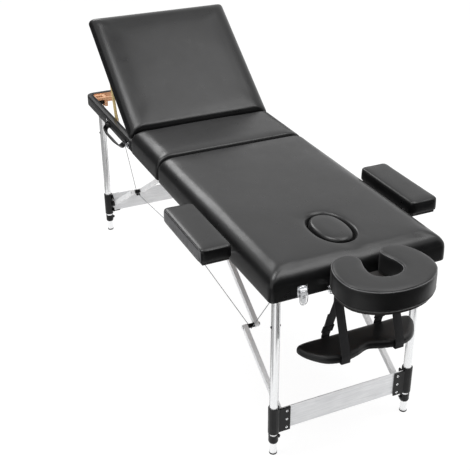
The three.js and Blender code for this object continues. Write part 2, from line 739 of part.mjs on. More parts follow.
function braceUpper() {
  const [kneeX, kneeZ] = braceKnee();
  const y = spanAt(upperY, brace.width);
  const spacerEnd = lowerY - brace.width / 2 - clearance;
  const spacer = rodY(kneeX, [y[1] - weld, spacerEnd], kneeZ, brace.spacerRadius);
  const head = rodY(kneeX, [y[0] - brace.headThickness, y[0] + weld], kneeZ, brace.headRadius, smallSides);
  return join(boredLink([brace.topPinX, topPinZ], [kneeX, kneeZ], y), spacer, head);
}

// cable from the batten, under the knee spacer, to the middle of the table and up to the end rail
function braceCable() {
  const [kneeX, kneeZ] = braceKnee();
  const top = new THREE.Vector3(cableFrameX, cableY, battenBottom - clearance - cable.radius);
  const middle = new THREE.Vector3(cable.middleX, cableY, cableMiddleZ);
  const hanger = new THREE.Vector3(cable.hangerX, cableY, frame.bottom - clearance - cable.radius);
  const knee = new THREE.Vector3(kneeX, cableY, kneeZ);
  const toTop = top.clone().sub(knee).normalize();
  const toMiddle = middle.clone().sub(knee).normalize();
  const bend = toTop.angleTo(toMiddle) / 2;
  const reach = (brace.spacerRadius + clearance + cable.radius) / Math.sin(bend);
  const below = toTop.clone().add(toMiddle).normalize().negate();
  const guide = knee.clone().addScaledVector(below, reach);
  const section = new THREE.Shape().absarc(0, 0, cable.radius, 0, 2 * Math.PI, false);
  const run = (from, to) => new THREE.ExtrudeGeometry(
    section, { steps: 1, curveSegments: cableSides / 2, extrudePath: new THREE.LineCurve3(from, to) });
  const elbow = (point) => new THREE.SphereGeometry(cable.radius, cableSides, cableSides / 2)
    .translate(point.x, point.y, point.z);
  return join(run(top, guide), elbow(guide), run(guide, middle), elbow(middle), run(middle, hanger));
}

function addLegs() {
  const pieces = [
    ['leg_tube', legTube(), polishedAluminium],
    ['leg_bracket', legBracket(), blackPlastic],
    ['leg_collar', legCollar(), blackPlastic],
    ['leg_extension', legExtension(), polishedAluminium],
    ['leg_button', legButton(), chromedSteel],
    ['brace_upper', braceUpper(), polishedAluminium],
    ['brace_lower', braceLower(), polishedAluminium],
    ['brace_cable', braceCable(), steelCable],
  ];
  pieces.forEach(([name, geometry, material]) => {
    halves.forEach(([half, sideX]) => hands.forEach(([hand, sideY]) => {
      addMesh(`${half}_${hand}_${name}`, mirrored(geometry, sideX, sideY), material());
    }));
  });
  halves.forEach(([half, sideX]) => {
    addMesh(`${half}_cross_plate`, mirrored(crossPlate(), sideX, 1), brushedAluminium());
  });
}

// Armrests: a padded board with two rods that push into the side rail

function armrestPad() {
  return rectanglePad(
    spanAt(armrestX, armrest.length), [armrestInner, armrestOuter],
    [armrestTop - armrest.thickness, armrestTop],
    [armrest.cornerRadius, armrest.cornerRadius], armrestEdge, boxedEdgeShares);
}

function armrestSupport() {
  const board = block(
    spanAt(armrestX, armrest.length - 2 * armrestBoard.margin),
    [armrestInner + armrestBoard.margin, armrestOuter - armrestBoard.margin],
    [armBoardTop - armrestBoard.thickness, armBoardTop]);
  const rods = armRodPlaces().map((x) => rodY(
    x, [armSocketY + clearance, armrestOuter - 2 * armrestBoard.margin], armRodZ, armrestBoard.rodRadius));
  return join(board, ...rods);
}

function addArmrests() {
  hands.forEach(([hand, sideY]) => {
    addMesh(`${hand}_armrest_pad`, mirrored(armrestPad(), 1, sideY), blackLeather());
    addMesh(`${hand}_armrest_support`, mirrored(armrestSupport(), 1, sideY), chromedSteel());
  });
}

// Face cradle: rods with a bar and an axle, a tilting plate and its horseshoe cushion

function cradleRods() {
  const barTop = cradlePlateBottom - 2 * clearance;
  const bar = block(
    [cradleBarX, cradleBarX + cradleBar.thickness], spanAt(0, 2 * cradleBar.halfWidth),
    [cradleBarBottom, barTop]);
  const rod = rodX([frame.halfLength - cradleRod.innerReach, cradleBarX + weld], cradleRod.y,
    cradleRodZ, cradleRod.radius);
  const earReach = cradleAxle.radius + cradleAxle.wall;
  const ears = [cradleBar.earY, cradleBar.halfWidth - cradleBar.earThickness / 2].map((y) => block(
    [cradleBarX + cradleBar.thickness - weld, axleX + earReach],
    spanAt(y, cradleBar.earThickness), spanAt(axleZ, 2 * earReach)));
  const sides = [rod, ...ears].flatMap((piece) => [piece, mirrored(piece, 1, -1)]);
  return join(bar, ...sides, rodY(axleX, spanAt(0, 2 * cradleBar.halfWidth), axleZ,
    cradleAxle.radius));
}

function cradleOutline() {
  return smoothOutline(cradleShares, cradlePadX, cradlePad.length, cradlePad.halfWidth);
}

function cradlePlatform() {
  const z = [cradlePlateBottom, cradlePlateBottom + cradlePlate.thickness];
  const horseshoe = ringStack(z.map((height) => insetRing(cradleOutline(), cradlePlate.inset, height)));
  const bridge = block([bridgeStartX, bridgeEndX], spanAt(0, 2 * cradleBridge.halfWidth), z);
  const plateBody = join(horseshoe, bridge);
  const rearCut = block(
    [cradlePadX - overrun, bridgeStartX], spanAt(0, 2 * cradlePad.halfWidth), longer(z));
  const reach = cradleAxle.radius + cradleAxle.wall;
  const lugs = [-cradleBridge.lugY, cradleBridge.lugY].map((y) => block(
    spanAt(axleX, 2 * reach), spanAt(y, cradleBridge.lugWidth),
    [axleZ - reach, z[0] + weld]));
  const bore = rodY(axleX, spanAt(0, 2 * cradleBar.halfWidth), axleZ,
    cradleAxle.radius + clearance);
  return cut(join(cut(plateBody, rearCut), ...lugs), bore);
}

function cradleCushion() {
  const bottom = cradlePlateBottom + cradlePlate.thickness + clearance;
  return outlinePad(cradleOutline(), [bottom, bottom + cradlePad.thickness], cradlePad.edgeRadius,
    boxedEdgeShares);
}

// Arm shelf, hung from the cradle's axle in two webbing loops

function armShelf() {
  const outline = smoothOutline(shelfShares, shelfX, shelf.depth, shelf.halfLength);
  return outlinePad(outline, [shelfTop - shelf.thickness, shelfTop], shelf.edgeRadius, boardEdgeShares);
}

// side view of a loop round the shelf and over the axle, grown outwards
function strapPoints(grow) {
  const gap = clearance + grow;
  const front = shelfX + shelf.depth + gap;
  const under = shelfTop - shelf.thickness - gap;
  const round = cradleAxle.radius + gap;
  const overAxle = Array.from({ length: turnSteps + 1 }, (unused, i) => {
    const angle = Math.PI * i / turnSteps;
    return new THREE.Vector2(axleX + round * Math.cos(angle),
      axleZ + round * Math.sin(angle));
  });
  return [
    new THREE.Vector2(shelfX - gap, shelfTop), new THREE.Vector2(shelfX - gap, under),
    new THREE.Vector2(front, under), new THREE.Vector2(front, shelfTop), ...overAxle,
  ];
}

function shelfStrap() {
  const shape = new THREE.Shape(strapPoints(strap.thickness));
  shape.holes.push(new THREE.Path(strapPoints(0)));
  return sidePlate(shape, spanAt(strap.y, strap.width));
}

// Carry handle: a webbing loop on two pins, standing out from the rail and drooping

function handleLoop(grow) {
  return Array.from({ length: 2 * turnSteps + 1 }, (unused, i) => {
    const angle = Math.PI * i / (2 * turnSteps);
    const across = Math.sign(Math.cos(angle)) * Math.sqrt(Math.abs(Math.cos(angle)));
    const down = Math.sqrt(Math.sin(angle));
    return new THREE.Vector2((handle.halfSpan + grow) * across,
      handle.start + (handle.depth - handle.start + grow) * down);
  });
}

function carryHandle() {
  const outline = [...handleLoop(0), ...handleLoop(-handle.thickness).reverse()];
  const band = new THREE.ExtrudeGeometry(new THREE.Shape(outline),
    { depth: handle.width, bevelEnabled: false });
  const sleeveX = handle.halfSpan - handle.thickness / 2;
  const sleeve = rodX(spanAt(sleeveX, handlePivot.sleeveWidth), 0, 0, handlePivot.sleeveRadius, smallSides);
  const bore = rodX(spanAt(sleeveX, 2 * handlePivot.sleeveWidth), 0, 0,
    handlePivot.pinRadius + clearance, smallSides);
  return cut(
    join(band.translate(0, 0, -handle.width / 2), sleeve, mirrored(sleeve, -1, 1)),
    bore, mirrored(bore, -1, 1));
}

function addHandle() {
  const hung = new THREE.Group();
  hung.position.set(-handleX, -halfWidth - handlePivot.standOff, handleZ);
  hung.rotation.x = Math.PI + handle.droop * degree;
  addMesh('carry_handle', carryHandle(), blackWebbing(), hung);
  table.add(hung);
}

// Latches: levers on the head end and catches on the foot end

function latchLever() {
  const y = spanAt(latchY, lever.width);
  const blade = roundBar([latchX, latchPivotZ], [latchX, latchPivotZ - lever.length],
    lever.thickness / 2, y);
  const barrel = rodY(latchX, y, latchPivotZ, lever.barrelRadius);
  return cut(join(blade, barrel), rodY(latchX, longer(y), latchPivotZ,
    latch.pinRadius + clearance, smallSides));
}

function catchPlate() {
  const face = frame.halfLength + clearance;
  const low = catchBottom;
  const base = block([face, face + latchCatch.thickness], spanAt(latchY, latchCatch.width),
    [low, low + latchCatch.height]);
  const stem = block([face, face + hook.reach], spanAt(latchY, hook.width), [low, low + hook.thickness]);
  const lip = block([face + hook.reach - hook.thickness, face + hook.reach],
    spanAt(latchY, hook.width), [low, low + hook.height]);
  return join(base, stem, lip);
}

function addLatches() {
  hands.forEach(([hand, sideY]) => {
    addMesh(`${hand}_latch_lever`, mirrored(latchLever(), 1, sideY), chromedSteel());
    addMesh(`${hand}_latch_catch`, mirrored(catchPlate(), -1, sideY), chromedSteel());
  });
}

// Assembly

function centreHingePin() {
  const reach = hingeY + 1.5 * hinge.knuckleWidth + clearance;
  return rodY(0, [-reach, reach], hingeZ, hinge.pinRadius);
}

addMesh('head_frame', headFrame(), wrappedWood());
addMesh('head_deck', headDeck(), plywood());
addMesh('head_cushion', headCushion(), blackLeather());
addMesh('face_plug', facePlug(), blackLeather());
addMesh('centre_hinge_pin', centreHingePin(), chromedSteel());
addMesh('foot_frame', footFrame(), wrappedWood());
addMesh('hip_deck', hipDeck(), plywood());
addMesh('hip_cushion', hipCushion(), blackLeather());
addBackrest();
addProp();
addLegs();
addArmrests();
addMesh('cradle_rods', cradleRods(), chromedSteel());
addMesh('cradle_platform', cradlePlatform(), plywood());
addMesh('cradle_cushion', cradleCushion(), blackLeather());
addMesh('arm_shelf', armShelf(), blackLeather());
hands.forEach(([hand, sideY]) => (
  addMesh(`${hand}_shelf_strap`, mirrored(shelfStrap(), 1, sideY), blackWebbing())));
addHandle();
addLatches();

// the origin lies under the middle of the length, from the foot end's catches to the cradle
const footReach = frame.halfLength + clearance + hook.reach;
table.position.x = (footReach - cradlePadX - cradlePad.length) / 2;

export default table;
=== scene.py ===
import math
import bmesh
import bpy
import numpy as np
from mathutils import Matrix, Vector, noise
from mathutils.bvhtree import BVHTree


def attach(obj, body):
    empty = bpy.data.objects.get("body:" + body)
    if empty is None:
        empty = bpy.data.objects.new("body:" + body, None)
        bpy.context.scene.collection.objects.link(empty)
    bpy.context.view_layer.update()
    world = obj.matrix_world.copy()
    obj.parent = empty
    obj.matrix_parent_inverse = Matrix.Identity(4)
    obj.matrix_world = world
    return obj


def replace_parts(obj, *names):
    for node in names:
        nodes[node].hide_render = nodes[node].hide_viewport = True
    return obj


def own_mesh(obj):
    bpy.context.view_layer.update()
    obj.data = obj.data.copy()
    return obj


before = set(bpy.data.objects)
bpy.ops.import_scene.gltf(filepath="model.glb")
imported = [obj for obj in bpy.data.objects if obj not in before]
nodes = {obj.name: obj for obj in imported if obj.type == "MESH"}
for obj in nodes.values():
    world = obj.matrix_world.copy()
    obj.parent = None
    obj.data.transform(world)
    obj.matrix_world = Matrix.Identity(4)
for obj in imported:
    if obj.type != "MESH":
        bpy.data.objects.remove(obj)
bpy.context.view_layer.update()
scene = bpy.context.scene
print("frame loaded:", len(nodes), "nodes")

# Places are written in millimetres from the middle hinge of the table, as its maker would measure them
millimetre = 0.001
middleX = -116.85
hands = (("left", -1), ("right", 1))
ends = (("head", 1), ("foot", -1))
backrestHinge = (-308.0, 668.0)
backrestAngle = math.radians(37)


def toScene(points):
    return (np.asarray(points, float).reshape(-1, 3) + (middleX, 0, 0)) * millimetre


def raised(points):
    # from the flat backrest to the raised one
    p = np.array(points, float).reshape(-1, 3)
    dx, dz = p[:, 0] - backrestHinge[0], p[:, 2] - backrestHinge[1]
    c, s = math.cos(backrestAngle), math.sin(backrestAngle)
    p[:, 0] = backrestHinge[0] + dx * c + dz * s
    p[:, 2] = backrestHinge[1] - dx * s + dz * c
    return p


def atHeight(outline, z):
    return np.column_stack([outline, np.full(len(outline), z)])


def placesOf(mesh):
    return np.array([v.co for v in mesh.vertices])


# Meshes

def makePiece(name, parts, body=None, sides=(1, 1), creased=True):
    # shapes drawn for the head end and the right hand, each with its finish, joined in one piece
    materials, points, faces, indices = [], [], [], []
    flip = -1 if sides[0] * sides[1] < 0 else 1
    for (shapePoints, shapeFaces), material in parts:
        if material not in materials:
            materials.append(material)
        start = len(points)
        faces += [tuple(i + start for i in face)[::flip] for face in shapeFaces]
        points.extend(np.asarray(shapePoints, float) * (*sides, 1))
        indices += [materials.index(material)] * len(shapeFaces)
    mesh = bpy.data.meshes.new(name)
    mesh.from_pydata([tuple(p) for p in toScene(points)], [], faces)
    for material in materials:
        mesh.materials.append(material)
    mesh.polygons.foreach_set("material_index", indices)
    mesh.update()
    bm = bmesh.new()
    bm.from_mesh(mesh)
    bmesh.ops.remove_doubles(bm, verts=bm.verts, dist=1e-6)
    bmesh.ops.recalc_face_normals(bm, faces=bm.faces)
    bm.to_mesh(mesh)
    bm.free()
    mesh.shade_smooth()
    piece = bpy.data.objects.new(name, mesh)
    scene.collection.objects.link(piece)
    if creased:
        piece.modifiers.new("Crease", "EDGE_SPLIT").split_angle = math.radians(38)
    if body:
        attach(piece, body)
    return piece


def loft(rings, closed=False):
    # rings of equal count joined by quads; the ends are capped, or joined to each other
    count, last = len(rings[0]), len(rings) - 1
    points = np.concatenate([np.asarray(r, float) for r in rings])
    pairs = [(k, k + 1) for k in range(last)] + [(last, 0)] * closed
    faces = [(a * count + i, a * count + (i + 1) % count, b * count + (i + 1) % count, b * count + i)
             for a, b in pairs for i in range(count)]
    if not closed:
        faces += [tuple(range(count))[::-1], tuple(last * count + i for i in range(count))]
    return points, faces


def circle(radius, sides=24):
    t = np.arange(sides) * 2 * math.pi / sides
    return np.stack([radius * np.cos(t), radius * np.sin(t)], 1)


def turned(profile, centre, axis, sides=24):
    # profile of (radius, height) pairs turned round an axis through the centre
    axis = np.asarray(axis, float) / np.linalg.norm(axis)
    side = np.cross(axis, (0.31, 0.52, 0.79))
    side /= np.linalg.norm(side)
    up = np.cross(axis, side)
    rings = []
    for radius, height in profile:
        c = circle(max(radius, 0.02), sides)
        rings.append(np.asarray(centre, float) + height * axis + c[:, :1] * side + c[:, 1:] * up)
    return loft(rings)


def roundedSection(width, height, radius, steps=3):
    points = []
    for cx, cy, start in ((1, 1, 0), (-1, 1, 90), (-1, -1, 180), (1, -1, 270)):
        for k in range(steps + 1):
            a = math.radians(start + 90 * k / steps)
            points.append((cx * (width / 2 - radius) + radius * math.cos(a),
                           cy * (height / 2 - radius) + radius * math.sin(a)))
    return np.array(points)


def slab(centre, size, radius, thickAxis="z", bevel=0.8):
    # a plate with rounded corners and softened edges
    order = {"z": [0, 1, 2], "x": [1, 2, 0], "y": [2, 0, 1]}[thickAxis]
    w, d, t = (size[k] for k in order)
    rings = []
    for inset, level in ((bevel, -t / 2), (bevel * 0.3, -t / 2 + bevel * 0.3), (0, -t / 2 + bevel),
                         (0, t / 2 - bevel), (bevel * 0.3, t / 2 - bevel * 0.3), (bevel, t / 2)):
        section = roundedSection(w - 2 * inset, d - 2 * inset, max(radius - inset, 0.2))
        ring = np.zeros((len(section), 3))
        ring[:, order] = atHeight(section, level)
        rings.append(ring + centre)
    return loft(rings)


def headings(path, closed=False):
    # the unit way ahead at each point, from its two neighbours
    if closed:
        ahead = np.roll(path, -1, 0) - np.roll(path, 1, 0)
    else:
        ahead = np.vstack([path[1:2] - path[:1], path[2:] - path[:-2], path[-1:] - path[-2:-1]])
    return ahead / np.linalg.norm(ahead, axis=1, keepdims=True)


def sweep(path, section, closed=False, up=(0, 0, 1)):
    # a section carried along a path with a steady upward side
    path = np.asarray(path, float)
    rings = []
    for p, along in zip(path, headings(path, closed)):
        side = np.cross(along, up)
        side /= np.linalg.norm(side)
        rings.append(p + section[:, :1] * side + section[:, 1:] * np.cross(side, along))
    return loft(rings, closed)


def reachOf(walk):
    return np.concatenate([[0], np.cumsum(np.linalg.norm(np.diff(walk, axis=0), axis=1))])


def pointsAt(walk, places):
    return np.stack([np.interp(places, reachOf(walk), walk[:, k]) for k in range(walk.shape[1])], 1)


def smoothPath(points, count, closed=False):
    # centripetal Catmull-Rom through the points, in even steps
    p = np.asarray(points, float)
    n = len(p)
    out = []
    for s in range(n if closed else n - 1):
        q = [p[(s + k) % n] for k in (-1, 0, 1, 2)]
        if not closed and s == 0:
            q[0] = 2 * q[1] - q[2]
        if not closed and s + 2 >= n:
            q[3] = 2 * q[2] - q[1]
        t = np.cumsum([0.0] + [max(np.linalg.norm(b - a), 1e-6) ** 0.5 for a, b in zip(q, q[1:])])
        for u in np.linspace(t[1], t[2], 12, endpoint=False):
            a = [((t[i + 1] - u) * q[i] + (u - t[i]) * q[i + 1]) / (t[i + 1] - t[i]) for i in range(3)]
            b = [((t[i + 2] - u) * a[i] + (u - t[i]) * a[i + 1]) / (t[i + 2] - t[i]) for i in range(2)]
            out.append(((t[2] - u) * b[0] + (u - t[1]) * b[1]) / (t[2] - t[1]))
    walk = np.array(out + ([out[0]] if closed else [p[-1]]))
    return pointsAt(walk, np.linspace(0, reachOf(walk)[-1], count, endpoint=not closed))


# Finishes

class Finish:
    # a material or world, and short ways to add its texture nodes
    def __init__(self, name, settings=None, kind="materials"):
        self.block = getattr(bpy.data, kind).new(name)
        self.block.use_nodes = True
        self.tree = self.block.node_tree
        self.shader = self.tree.nodes.get("Principled BSDF")
        for socket, value in (settings or {}).items():
            self.shader.inputs[socket].default_value = value
        self.place = self.tree.nodes.new("ShaderNodeTexCoord").outputs["Object"]
        self.normal = None

    def add(self, kind, output, inputs, **options):
        node = self.tree.nodes.new("ShaderNode" + kind)
        for option, value in options.items():
            setattr(node, option, value)
        for socket, value in inputs.items():
            if isinstance(value, bpy.types.NodeSocket):
                self.tree.links.new(value, node.inputs[socket])
            else:
                node.inputs[socket].default_value = value
        return node.outputs[output]

    def noise(self, scale, detail=3.0, roughness=0.55, distortion=0.0, stretch=None):
        place = self.place
        if stretch:
            place = self.add("Mapping", "Vector", {"Vector": place, "Scale": stretch})
        return self.add("TexNoise", "Fac", {"Vector": place, "Scale": scale, "Detail": detail,
                                            "Roughness": roughness, "Distortion": distortion})

    def cells(self, scale):
        inputs = {"Vector": self.place, "Scale": scale, "Smoothness": 0.35}
        return self.add("TexVoronoi", "Distance", inputs, feature="SMOOTH_F1")

    def waves(self, scale, direction, distortion=0.0):
        return self.add("TexWave", "Fac", {"Vector": self.place, "Scale": scale, "Distortion": distortion},
                        bands_direction=direction)

    def ramp(self, value, *stops):
        ramp = self.tree.nodes.new("ShaderNodeValToRGB")
        marks = ramp.color_ramp.elements
        while len(marks) < len(stops):
            marks.new(0.5)
        for mark, (place, colour) in zip(marks, stops):
            mark.position = place
            mark.color = (*colour, 1)
        self.tree.links.new(value, ramp.inputs["Fac"])
        return ramp.outputs["Color"]

    def spread(self, value, low, high, start=0.0, end=1.0):
        return self.add("MapRange", "Result", {"Value": value, "From Min": start, "From Max": end,
                                               "To Min": low, "To Max": high})

    def calc(self, operation, *values):
        return self.add("Math", "Value", dict(enumerate(values)), operation=operation)

    def over(self, value, limit):
        return self.calc("GREATER_THAN", value, limit)

    def under(self, value, limit):
        return self.calc("LESS_THAN", value, limit)

    def between(self, value, low, high):
        return self.calc("MULTIPLY", self.over(value, low), self.under(value, high))

    def either(self, first, *others):
        for other in others:
            first = self.calc("MAXIMUM", first, other)
        return first

    def mix(self, share, *colours):
        first, second = ((*c, 1) if isinstance(c, tuple) else c for c in colours)
        return self.add("Mix", 2, {0: share, 6: first, 7: second}, data_type="RGBA")

    def axes(self):
        parts = self.tree.nodes.new("ShaderNodeSeparateXYZ")
        self.tree.links.new(self.place, parts.inputs["Vector"])
        return parts.outputs

    def bump(self, height, strength, distance):
        # each bump lies on the one before
        before = {} if self.normal is None else {"Normal": self.normal}
        self.normal = self.add("Bump", "Normal", {"Strength": strength, "Distance": distance,
                                                  "Height": height, **before})

    def cameraOrMirror(self):
        rays = self.tree.nodes.new("ShaderNodeLightPath").outputs
        return self.either(rays["Is Camera Ray"], rays["Is Glossy Ray"], rays["Is Transmission Ray"])

    def done(self, colour, rough, metal=None):
        for socket, value in (("Base Color", colour), ("Roughness", rough), ("Metallic", metal),
                              ("Normal", self.normal)):
            if value is not None:
                self.tree.links.new(value, self.shader.inputs[socket])
        return self.block


leatherSettings = {
    "dark": (0.0022, 0.0022, 0.0024), "light": (0.004, 0.0041, 0.0044), "roughness": (0.27, 0.33),
    "grainScale": 820.0, "grainStrength": 0.14, "grainDepth": 0.00014, "specular": 0.38,
}


def leatherNodes(finish, dark, light, roughness, grainScale, grainStrength, grainDepth, specular):
    finish.shader.inputs["Specular IOR Level"].default_value = specular
    finish.bump(finish.noise(34.0, 2.0), 0.10, 0.0012)  # slack places
    finish.bump(finish.noise(420.0, 4.0), 0.08, 0.0001)  # pores
    finish.bump(finish.cells(grainScale), grainStrength, grainDepth)
    colour = finish.ramp(finish.noise(9.0), (0.3, dark), (0.72, light))
    return colour, finish.spread(finish.noise(26.0, 4.0), *roughness, 0.3, 0.7)


def leatherFinish(name, **changes):
    finish = Finish(name, {"Sheen Weight": 0.04, "Sheen Roughness": 0.5})
    return finish.done(*leatherNodes(finish, **{**leatherSettings, **changes}))


def metalFinish(name, stretch, scale, contrast, roughness, bump, metallic, dark, light, streak):
    # streaks run along one axis: a low scale there and a high one across
    finish = Finish(name, {"Metallic": metallic})
    streaks = finish.noise(scale, 4.0, stretch=stretch)
    colour = finish.mix(finish.spread(finish.noise(14.0), 0.0, 1.0, 0.3, 0.7), dark, light)
    colour = finish.mix(finish.spread(streaks, 0.0, contrast, 0.35, 0.75), colour, streak)
    finish.bump(streaks, bump, 0.0001)
    return finish.done(colour, finish.spread(streaks, *roughness, 0.25, 0.75))


def plasticFinish(name, dark, light, roughness):
    finish = Finish(name, {"Specular IOR Level": 0.24})
    finish.bump(finish.noise(1400.0, 2.0), 0.15, 0.0001)
    colour = finish.ramp(finish.noise(40.0), (0.3, dark), (0.75, light))
    return finish.done(colour, finish.spread(finish.noise(160.0, 4.0), *roughness, 0.3, 0.7))


def woodNodes(finish, stretch, poreStretch, scale, roughness, dark, middle, light):
    # rings of a log seen along the boards, with pores and a slow change of tone
    finish.shader.inputs["Specular IOR Level"].default_value = 0.4
    rings = finish.noise(scale, 5.0, 0.6, 0.8, stretch)
    pores = finish.noise(900.0, 2.0, stretch=poreStretch)
    finish.bump(pores, 0.2, 0.0002)
    colour = finish.ramp(rings, (0.28, dark), (0.5, middle), (0.72, light))
    spotted = finish.mix(finish.spread(pores, 0.0, 0.5, 0.55, 0.8), colour, dark)
    return spotted, finish.spread(rings, *roughness, 0.3, 0.7)


def woodFinish(name, settings):
    finish = Finish(name)
    return finish.done(*woodNodes(finish, **settings))


def webbingFinish(name):
    # flat ribs across the band and a twill along it
    finish = Finish(name, {"Specular IOR Level": 0.25, "Sheen Weight": 0.25, "Sheen Roughness": 0.4})
    height = finish.calc("ADD", finish.waves(260.0, "DIAGONAL", 0.6), finish.waves(190.0, "Y"))
    finish.bump(height, 0.35, 0.0003)
    colour = finish.ramp(height, (0.2, (0.004, 0.004, 0.0045)), (1.0, (0.017, 0.017, 0.018)))
    return finish.done(colour, finish.spread(finish.noise(90.0), 0.72, 0.88, 0.3, 0.7))


def cableFinish(name):
    finish = Finish(name, {"Metallic": 1.0})
    strands = finish.waves(220.0, "DIAGONAL")
    finish.bump(strands, 0.5, 0.0003)
    colour = finish.ramp(strands, (0.2, (0.20, 0.20, 0.21)), (0.8, (0.62, 0.63, 0.65)))
    return finish.done(colour, finish.spread(finish.noise(70.0), 0.3, 0.45))


beechSettings = {
    "stretch": (3.0, 40.0, 40.0), "poreStretch": (0.05, 1.0, 1.0), "scale": 1.3, "roughness": (0.42, 0.6),
    "dark": (0.55, 0.26, 0.13), "middle": (0.74, 0.41, 0.23), "light": (0.84, 0.54, 0.33),
}
paleWoodSettings = {
    **beechSettings, "stretch": (14.0, 60.0, 8.0),
    "dark": (0.46, 0.34, 0.14), "middle": (0.62, 0.48, 0.22), "light": (0.74, 0.60, 0.32),
}
plywoodSettings = {
    **beechSettings, "stretch": (3.0, 30.0, 60.0), "roughness": (0.45, 0.6),
    "dark": (0.008, 0.007, 0.006), "middle": (0.014, 0.012, 0.011), "light": (0.022, 0.019, 0.017),
}
tubeSettings = {
    "stretch": (60.0, 60.0, 0.5), "scale": 6.0, "contrast": 0.35, "roughness": (0.16, 0.22), "bump": 0.005,
    "metallic": 0.7,
    "dark": (0.88, 0.885, 0.895), "light": (0.94, 0.945, 0.95), "streak": (0.87, 0.875, 0.885),
}
linkSettings = {**tubeSettings, "stretch": (2.0, 60.0, 60.0), "roughness": (0.4, 0.5), "metallic": 0.0}
plateSettings = {
    "stretch": (60.0, 1.4, 60.0), "scale": 9.0, "contrast": 0.8, "roughness": (0.3, 0.46), "bump": 0.12,
    "metallic": 0.4,
    "dark": (0.80, 0.805, 0.815), "light": (0.90, 0.905, 0.915), "streak": (0.62, 0.625, 0.64),
}
chromeSettings = {
    "stretch": (10.0, 10.0, 10.0), "scale": 6.0, "contrast": 0.3, "roughness": (0.07, 0.15), "bump": 0.01,
    "metallic": 1.0,
    "dark": (0.80, 0.81, 0.83), "light": (0.92, 0.92, 0.93), "streak": (0.72, 0.73, 0.75),
}
darkSteelSettings = {
    **chromeSettings, "roughness": (0.3, 0.42),
    "dark": (0.05, 0.05, 0.052), "light": (0.10, 0.10, 0.105), "streak": (0.04, 0.04, 0.042),
}

leather = leatherFinish("blackLeather")
cradleLeather = leatherFinish("cradleLeather", roughness=(0.36, 0.44))
# the cradle's piping is a lighter grey than the hide: a painted highlight along the cradle's top edge
piping = leatherFinish("leatherPipingPaintedHighlight", roughness=(0.22, 0.3), specular=0.6,
                       dark=(0.05, 0.05, 0.052), light=(0.08, 0.08, 0.082))
darkSeam = plasticFinish("seamThread", (0.003,) * 3, (0.007,) * 3, (0.7, 0.9))
polished = metalFinish("polishedAluminium", **tubeSettings)
linkMetal = metalFinish("braceAluminium", **linkSettings)
brushed = metalFinish("brushedAluminium", **plateSettings)
chrome = metalFinish("brightChrome", **chromeSettings)
nickel = metalFinish("brightNickel", **{**chromeSettings, "metallic": 0.15, "roughness": (0.16, 0.24)})
darkSteel = metalFinish("darkSteel", **darkSteelSettings)
blackPlastic = plasticFinish("satinBlackPlastic", (0.005, 0.005, 0.0055), (0.012, 0.012, 0.0125),
                             (0.28, 0.38))
blackRubber = plasticFinish("footRubber", (0.006,) * 3, (0.014,) * 3, (0.6, 0.75))
webbing = webbingFinish("blackWebbing")
steelCable = cableFinish("steelCable")
darkPlywood = woodFinish("darkPlywood", plywoodSettings)
paleBeech = woodFinish("paleBeech", paleWoodSettings)


def frameFinish(name, leafTop, hangerSpan, hangerLane, endFace, sideFace, rimEnd, rimSide, joint):
    # one solid carries the wooden ring and its metal fittings: the fittings are told by place
    finish = Finish(name)
    wood, rough = woodNodes(finish, **beechSettings)
    x, y, z = finish.axes()
    sideways = finish.calc("ABSOLUTE", y)
    lengthways = finish.calc("ABSOLUTE", finish.calc("SUBTRACT", x, middleX * millimetre))
    hangers = finish.calc("MULTIPLY", finish.between(lengthways, *hangerSpan),
                          finish.between(sideways, *hangerLane))
    metal = finish.either(finish.under(z, leafTop), hangers, finish.over(lengthways, endFace),
                          finish.over(sideways, sideFace))
    # the rim takes the leather's dark colour; next to the middle hinge that dark is painted shade in the gap
    # between the halves
    rim = finish.either(finish.over(lengthways, rimEnd), finish.over(sideways, rimSide),
                        finish.under(lengthways, joint))
    steel = finish.mix(finish.spread(finish.noise(60.0), 0.0, 1.0, 0.3, 0.7),
                       (0.62, 0.63, 0.65), (0.80, 0.81, 0.83))
    colour = finish.mix(metal, finish.mix(rim, wood, leatherSettings["light"]), steel)
    return finish.done(colour, finish.calc("SUBTRACT", rough, finish.calc("MULTIPLY", metal, 0.28)), metal)


def footFinish(name, rubberTop):
    finish = Finish(name)
    metal = finish.over(finish.axes()[2], rubberTop)
    streaks = finish.noise(tubeSettings["scale"], 4.0, stretch=tubeSettings["stretch"])
    bright = finish.mix(finish.spread(streaks, 0.0, 0.5, 0.35, 0.75),
                        tubeSettings["light"], tubeSettings["streak"])
    finish.bump(finish.noise(900.0), 0.1, 0.0001)
    return finish.done(finish.mix(metal, (0.01, 0.01, 0.01), bright), finish.spread(metal, 0.65, 0.22),
                       finish.calc("MULTIPLY", metal, 0.85))


def boardFinish(name, rodTop):
    # armrest supports: a dark board with chromed rods under it
    finish = Finish(name)
    wood, rough = woodNodes(finish, **plywoodSettings)
    rod = finish.under(finish.axes()[2], rodTop)
    steel = finish.mix(finish.spread(finish.noise(50.0), 0.0, 1.0), (0.8, 0.81, 0.83), (0.92, 0.92, 0.93))
    smoother = finish.calc("SUBTRACT", rough, finish.calc("MULTIPLY", rod, 0.4))
    return finish.done(finish.mix(rod, wood, steel), smoother, rod)


def paintedReflectionSideFinish(name, limit):
    # the outer side of an armrest is painted a lighter grey in fine streaks: a painted reflection on the
    # black hide
    finish = Finish(name)
    colour, rough = leatherNodes(finish, **leatherSettings)
    side = finish.over(finish.calc("ABSOLUTE", finish.axes()[1]), limit)
    streaks = finish.noise(4.0, 4.0, stretch=(60.0, 60.0, 6.0))
    # painted reflection: this grey stands in for light that the black side reflects
    paintedReflection = finish.ramp(streaks, (0.3, (0.07, 0.07, 0.072)), (0.7, (0.16, 0.16, 0.165)))
    return finish.done(finish.mix(side, colour, paintedReflection), rough)


